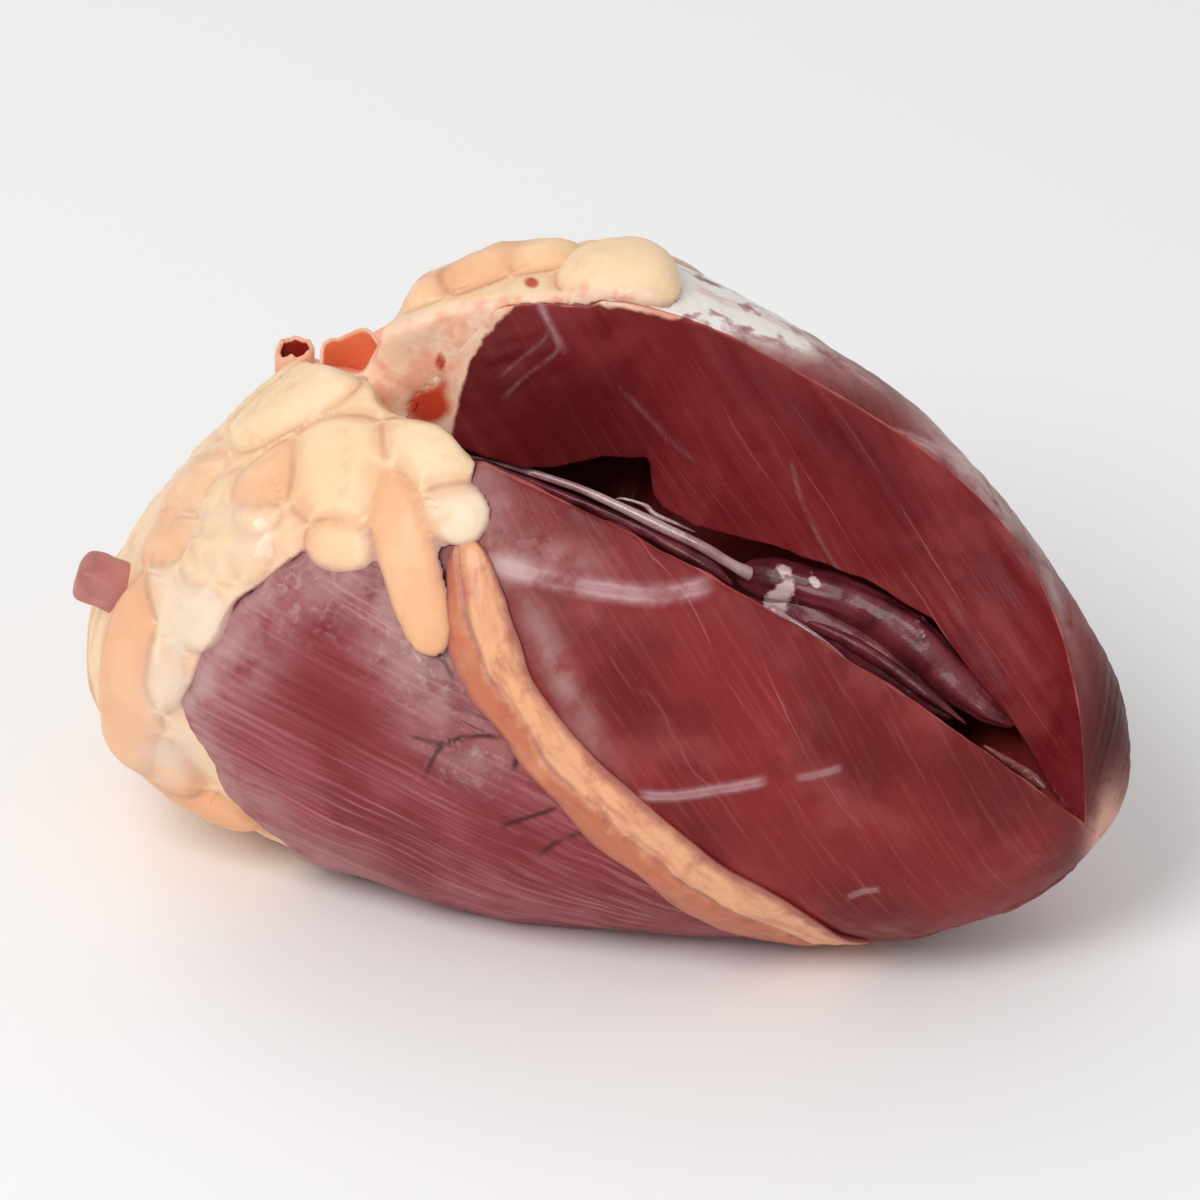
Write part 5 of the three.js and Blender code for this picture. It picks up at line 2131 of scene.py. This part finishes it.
        wet = sheet.trait("wet")
        return tissue.finished(
            sheet.plus(tissue.uneven(fibre["Grain"], mottle), sheet.times(highlit_crests, 2.4)), 0.22,
            Specular_IOR_Level=0.24,
            Roughness=sheet.math("SUBTRACT", tissue.rough(mottle, 0.38, 0.2), sheet.times(wet, 0.2)),
            Coat_Weight=sheet.math("MULTIPLY_ADD", wet, 0.8, 0.02), Coat_Roughness=0.14,
            Subsurface_Weight=0.06, Subsurface_Radius=(1.0, 0.2, 0.12), Subsurface_Scale=0.002,
        )


@dataclass(frozen=True)
class FatFinish:
    """Creamy fat of the collar with pinkish creases, darkened partly by painted shade, thin edges and
    its cut surface.
    """

    cream: Colour = srgb(250, 214, 170)
    peach: Colour = srgb(240, 178, 134)
    white: Colour = srgb(244, 220, 192)
    # Crease and valley colours: the fat's warmer tint between lobes, darkened partly by painted shade.
    crease: Colour = srgb(172, 112, 84)
    valley: Colour = srgb(228, 162, 120)
    cut: Colour = srgb(250, 212, 184)
    cut_pink: Colour = srgb(240, 176, 146)
    thin: Colour = srgb(190, 146, 138)
    film: Colour = srgb(232, 212, 194)
    spot: Colour = srgb(196, 66, 40)

    def built(self, effects: Effects) -> Material:
        """Makes the material.

        Args:
            effects: The node groups that the finishes share.

        Returns:
            The material.
        """
        tissue = Tissue("fat", effects)
        sheet = tissue.sheet
        mottle = tissue.mottle(22)
        warmth = sheet.plus(sheet.trait("warmth"), sheet.about(mottle["Broad"], 1.3))
        tissue.colour = sheet.mixed(sheet.stepped(warmth, -0.9, 0.1), self.white, self.cream)
        tissue.lay(sheet.stepped(warmth, 0.0, 0.9), self.peach)
        shown = sheet.trait("crease_shown")
        blush = sheet.times(sheet.stepped(mottle["Small"], 0.5, 0.72), 0.3)
        tissue.lay(blush, self.valley)
        # Along the creases between lobes: a broad warm band and a thin brown line, partly the fat's own
        # warmer tint and partly painted shade in the creases.
        fold = sheet.times(tissue.line(sheet.trait("crease"), 3.6), sheet.times(shown, 0.5))
        tissue.lay(fold, self.valley)
        fold = sheet.times(tissue.line(sheet.trait("crease"), 0.8), sheet.times(shown, 0.45))
        fold = sheet.times(fold, sheet.stepped(mottle["Broad"], 0.3, 0.6))
        tissue.lay(fold, self.crease)
        veil = sheet.times(sheet.trait("film"), sheet.stepped(mottle["Small"], 0.25, 0.6, 0.85))
        tissue.lay(veil, self.film)
        frayed = sheet.plus(sheet.trait("thin"), sheet.about(mottle["Small"], 2.4))
        edge = sheet.math("SUBTRACT", 1.0, sheet.stepped(frayed, 0.2, 2.4))
        tissue.lay(sheet.times(edge, 0.85), self.thin)
        cut_face = sheet.mixed(sheet.stepped(mottle["Small"], 0.42, 0.66), self.cut, self.cut_pink)
        tissue.lay(sheet.trait("cut"), cut_face)
        tissue.lay(sheet.stepped(sheet.trait("spot"), 0.3, 0.9), self.spot)
        return tissue.finished(
            tissue.uneven(mottle["Small"], mottle), 0.35,
            Roughness=tissue.rough(mottle, 0.36, 0.2), Specular_IOR_Level=0.35,
            Coat_Weight=sheet.stepped(sheet.trait("wrinkled"), 0.0, 1.0, 0.7), Coat_Roughness=0.12,
            Subsurface_Weight=0.15, Subsurface_Radius=(1.0, 0.5, 0.25), Subsurface_Scale=0.003,
        )


@dataclass(frozen=True)
class GrooveFinish:
    """Fat of the grooves: two strands, a thin vessel between them, redder at the edges."""

    upper: Colour = srgb(234, 172, 130)
    lower: Colour = srgb(197, 114, 82)
    brown: Colour = srgb(176, 92, 66)
    edge: Colour = srgb(164, 92, 84)
    vessel: Colour = srgb(150, 96, 100)

    def built(self, effects: Effects) -> Material:
        """Makes the material.

        Args:
            effects: The node groups that the finishes share.

        Returns:
            The material.
        """
        tissue = Tissue("groove_fat", effects)
        sheet = tissue.sheet
        mottle = tissue.mottle(16)
        side = sheet.about(mottle["Small"], 5.0)
        side = sheet.stepped(sheet.plus(sheet.trait("valley"), side), -1.5, 1.5)
        tissue.colour = sheet.mixed(side, self.upper, self.lower)
        run = {0: sheet.trait("run"), 1: sheet.times(sheet.trait("valley"), 0.03)}
        streaks = sheet.noise(sheet.add("ShaderNodeCombineXYZ", run).outputs[0], 12.0, 3.0)
        tissue.lay(sheet.stepped(streaks, 0.46, 0.7, 0.5), self.brown)
        tissue.lay(sheet.stepped(mottle["Small"], 0.52, 0.72, 0.4), self.brown)
        tissue.lay(sheet.stepped(mottle["Broad"], 0.5, 0.7, 0.3), self.upper)
        line = tissue.line(sheet.trait("valley"), 1.1)
        line = sheet.times(line, sheet.stepped(mottle["Broad"], 0.3, 0.65, 0.6))
        tissue.lay(line, self.vessel)
        frayed = sheet.plus(sheet.trait("edge"), sheet.about(mottle["Small"], 0.3))
        tissue.lay(sheet.stepped(frayed, 0.72, 1.0, 0.9), self.edge)
        return tissue.finished(
            tissue.uneven(mottle["Small"], mottle), 0.4,
            Roughness=0.42, Specular_IOR_Level=0.35, Coat_Weight=0.12,
            Coat_Roughness=0.15, Subsurface_Weight=0.12, Subsurface_Radius=(1.0, 0.45, 0.25),
            Subsurface_Scale=0.0025,
        )


@dataclass(frozen=True)
class PlainTissue:
    """Tissue of two mottled colours, with a third where its mesh says so."""

    name: str
    first: Colour
    second: Colour
    third: Colour
    trait: str = ""
    low: float = 0.0
    high: float = 1.0
    blotch: float = 12.0
    roughness: float = 0.34
    coat: float = 0.3
    depth_mm: float = 0.25
    ragged: float = 0.0

    def built(self, effects: Effects) -> Material:
        """Makes the material.

        Args:
            effects: The node groups that the finishes share.

        Returns:
            The material.
        """
        tissue = Tissue(self.name, effects)
        sheet = tissue.sheet
        mottle = tissue.mottle(self.blotch)
        tissue.colour = sheet.mixed(sheet.stepped(mottle["Broad"], 0.36, 0.66), self.first, self.second)
        if self.trait:
            ragged = sheet.about(mottle["Small"], self.ragged)
            share = sheet.stepped(sheet.plus(sheet.trait(self.trait), ragged), self.low, self.high)
            tissue.lay(share, self.third)
        else:
            tissue.lay(sheet.stepped(mottle["Small"], 0.55, 0.8, 0.7), self.third)
        return tissue.finished(
            mottle["Small"], self.depth_mm,
            Roughness=tissue.rough(mottle, self.roughness - 0.08, 0.16),
            Specular_IOR_Level=0.3, Coat_Weight=self.coat, Coat_Roughness=0.1, Subsurface_Weight=0.1,
            Subsurface_Radius=(1.0, 0.4, 0.25), Subsurface_Scale=0.003,
        )


# The pale third colour is laid where the ridges' pale patches are: a white tendon cap and, in two small
# patches, painted glints.
RIDGE_FINISH = PlainTissue(
    "inner_muscle", srgb(120, 46, 54), srgb(82, 22, 28), srgb(220, 192, 188), trait="pale",
    low=0.4, high=0.75, blotch=10, roughness=0.4, coat=0.16, depth_mm=0.35, ragged=1.6,
)
TENDON_FINISH = PlainTissue(
    "tendon", srgb(196, 160, 162), srgb(164, 118, 124), srgb(222, 204, 204), roughness=0.24, coat=0.7
)
LEDGE_FINISH = PlainTissue(
    "ledge", srgb(158, 92, 90), srgb(128, 58, 60), srgb(212, 168, 160), blotch=7, roughness=0.4
)
AORTA_FINISH = PlainTissue(
    "vessel_wall", srgb(240, 200, 172), srgb(234, 168, 136), srgb(236, 134, 94), "inside", 0.4, 0.9
)
SMALL_VESSEL_FINISH = PlainTissue(
    "small_vessel_wall", srgb(236, 176, 146), srgb(222, 140, 110), srgb(150, 34, 24), "inside", 0.4, 0.9
)
SCRAP_FINISH = PlainTissue(
    "tissue", srgb(190, 124, 118), srgb(172, 104, 100), srgb(206, 146, 138), coat=0.15, roughness=0.45
)


@dataclass(frozen=True)
class Studio:
    """A pale floor, soft light from above and the left, and the camera."""

    target_mm: tuple[float, float, float] = (0.9, -3.97, 62)
    elevation: float = 30
    distance: float = 2.6
    lens: float = 354.9
    floor_size: float = 8.0
    floor_shade: float = 0.96
    sky: float = 0.52
    lights_aim: float = 0.06
    far_clip: float = 20

    def built(self) -> None:
        """Makes the floor, the lights, the world and the camera."""
        self.floor()
        self.light("key_light", (-0.9, -1.3, 1.7), 1.1, 27)
        self.light("fill_light", (1.4, -1.2, 0.9), 1.2, 3)
        self.light("rim_light", (-0.8, 1.4, 1.3), 1.0, 4)
        world = bpy.data.worlds.new("studio")
        world.use_nodes = True
        background = world.node_tree.nodes["Background"]
        background.inputs["Color"].default_value = (1, 1, 1, 1)
        background.inputs["Strength"].default_value = self.sky
        bpy.context.scene.world = world
        bpy.context.scene.view_settings.view_transform = "Standard"
        self.camera()

    def floor(self) -> None:
        """Makes the pale floor."""
        half = self.floor_size / 2
        corners = [(-half, -half, 0), (half, -half, 0), (half, half, 0), (-half, half, 0)]
        mesh = bpy.data.meshes.new("floor")
        mesh.from_pydata(corners, [], [(0, 1, 2, 3)])
        floor = bpy.data.objects.new("floor", mesh)
        bpy.context.scene.collection.objects.link(floor)
        paint = bpy.data.materials.new("floor")
        paint.use_nodes = True
        shader = paint.node_tree.nodes["Principled BSDF"]
        shader.inputs["Base Color"].default_value = (*[self.floor_shade] * 3, 1)
        shader.inputs["Roughness"].default_value = 0.7
        mesh.materials.append(paint)

    def light(self, name: str, at: tuple[float, float, float], size: float, power: float) -> None:
        """Makes a square area light that faces the heart.

        Args:
            name: The light's name.
            at: Its place in metres.
            size: Its side in metres.
            power: Its power in watts.
        """
        data = bpy.data.lights.new(name, "AREA")
        data.size = size
        data.energy = power
        lamp = bpy.data.objects.new(name, data)
        lamp.location = at
        way = Vector((0, 0, self.lights_aim)) - Vector(at)
        lamp.rotation_euler = way.to_track_quat("-Z", "Y").to_euler()
        bpy.context.scene.collection.objects.link(lamp)

    def camera(self) -> None:
        """Makes the camera and sets it as the scene's camera."""
        rise = math.radians(self.elevation)
        back = Vector((0, -math.cos(rise), math.sin(rise)))
        data = bpy.data.cameras.new("camera")
        data.lens = self.lens
        data.clip_end = self.far_clip
        camera = bpy.data.objects.new("camera", data)
        camera.location = Vector(self.target_mm) * MM + back * self.distance
        camera.rotation_euler = (-back).to_track_quat("-Z", "Y").to_euler()
        bpy.context.scene.collection.objects.link(camera)
        bpy.context.scene.camera = camera


def declare(made: Piece, node: str, material: Material) -> None:
    """Gives a piece its material, hangs it on the root body and hides the CAD part that it stands for.

    Args:
        made: The piece.
        node: The CAD node that it dresses.
        material: Its material.
    """
    made.data.materials.append(material)
    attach(made, "root")
    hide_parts(node)
    log.info("%s: %d points for %s", made.name, len(made.data.vertices), node)


def main() -> None:
    """Builds the heart and the studio."""
    logging.basicConfig(level=logging.INFO, format="%(message)s")
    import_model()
    form = HeartForm()
    placing = Placing(form)
    fat = FatField(form)
    effects = Effects()

    marks = SkinMarks(form, fat)
    muscle = Muscle(form).built(placing, marks)
    declare(muscle, "heart_muscle", MuscleFinish().built(effects))
    ridges, tendons = Hollow().built(placing)
    inner, tendon = RIDGE_FINISH.built(effects), TENDON_FINISH.built(effects)
    for ridge in ridges:
        declare(ridge, "heart_muscle", inner)
    ledge = LEDGE_FINISH.built(effects)
    for strand in tendons:
        declare(strand, "heart_muscle", ledge if strand.name == "apex_ledge" else tendon)

    collar = FatCollar(form, fat).built(placing, marks.spots)
    declare(collar, "fat_collar", FatFinish().built(effects))
    band = GrooveFinish().built(effects)
    for node, made in Grooves(form).built(placing).items():
        declare(made, node, band)

    aorta = Vessel("aorta_wall", (-66, 21, -2), (-75.5, 31.2, 16), 7.6, 6.6, 0.25, 61)
    declare(aorta.built(placing), "aorta_stub", AORTA_FINISH.built(effects))
    small = Vessel("small_vessel_wall", (-82, 16, 2), (-86.5, 28.6, 12), 4.6, 3.2, 0.12, 62)
    declare(small.built(placing), "small_vessel", SMALL_VESSEL_FINISH.built(effects))
    declare(TissueScrap().built(placing), "tissue_stub", SCRAP_FINISH.built(effects))

    Studio().built()


if __name__ == "__main__":
    main()
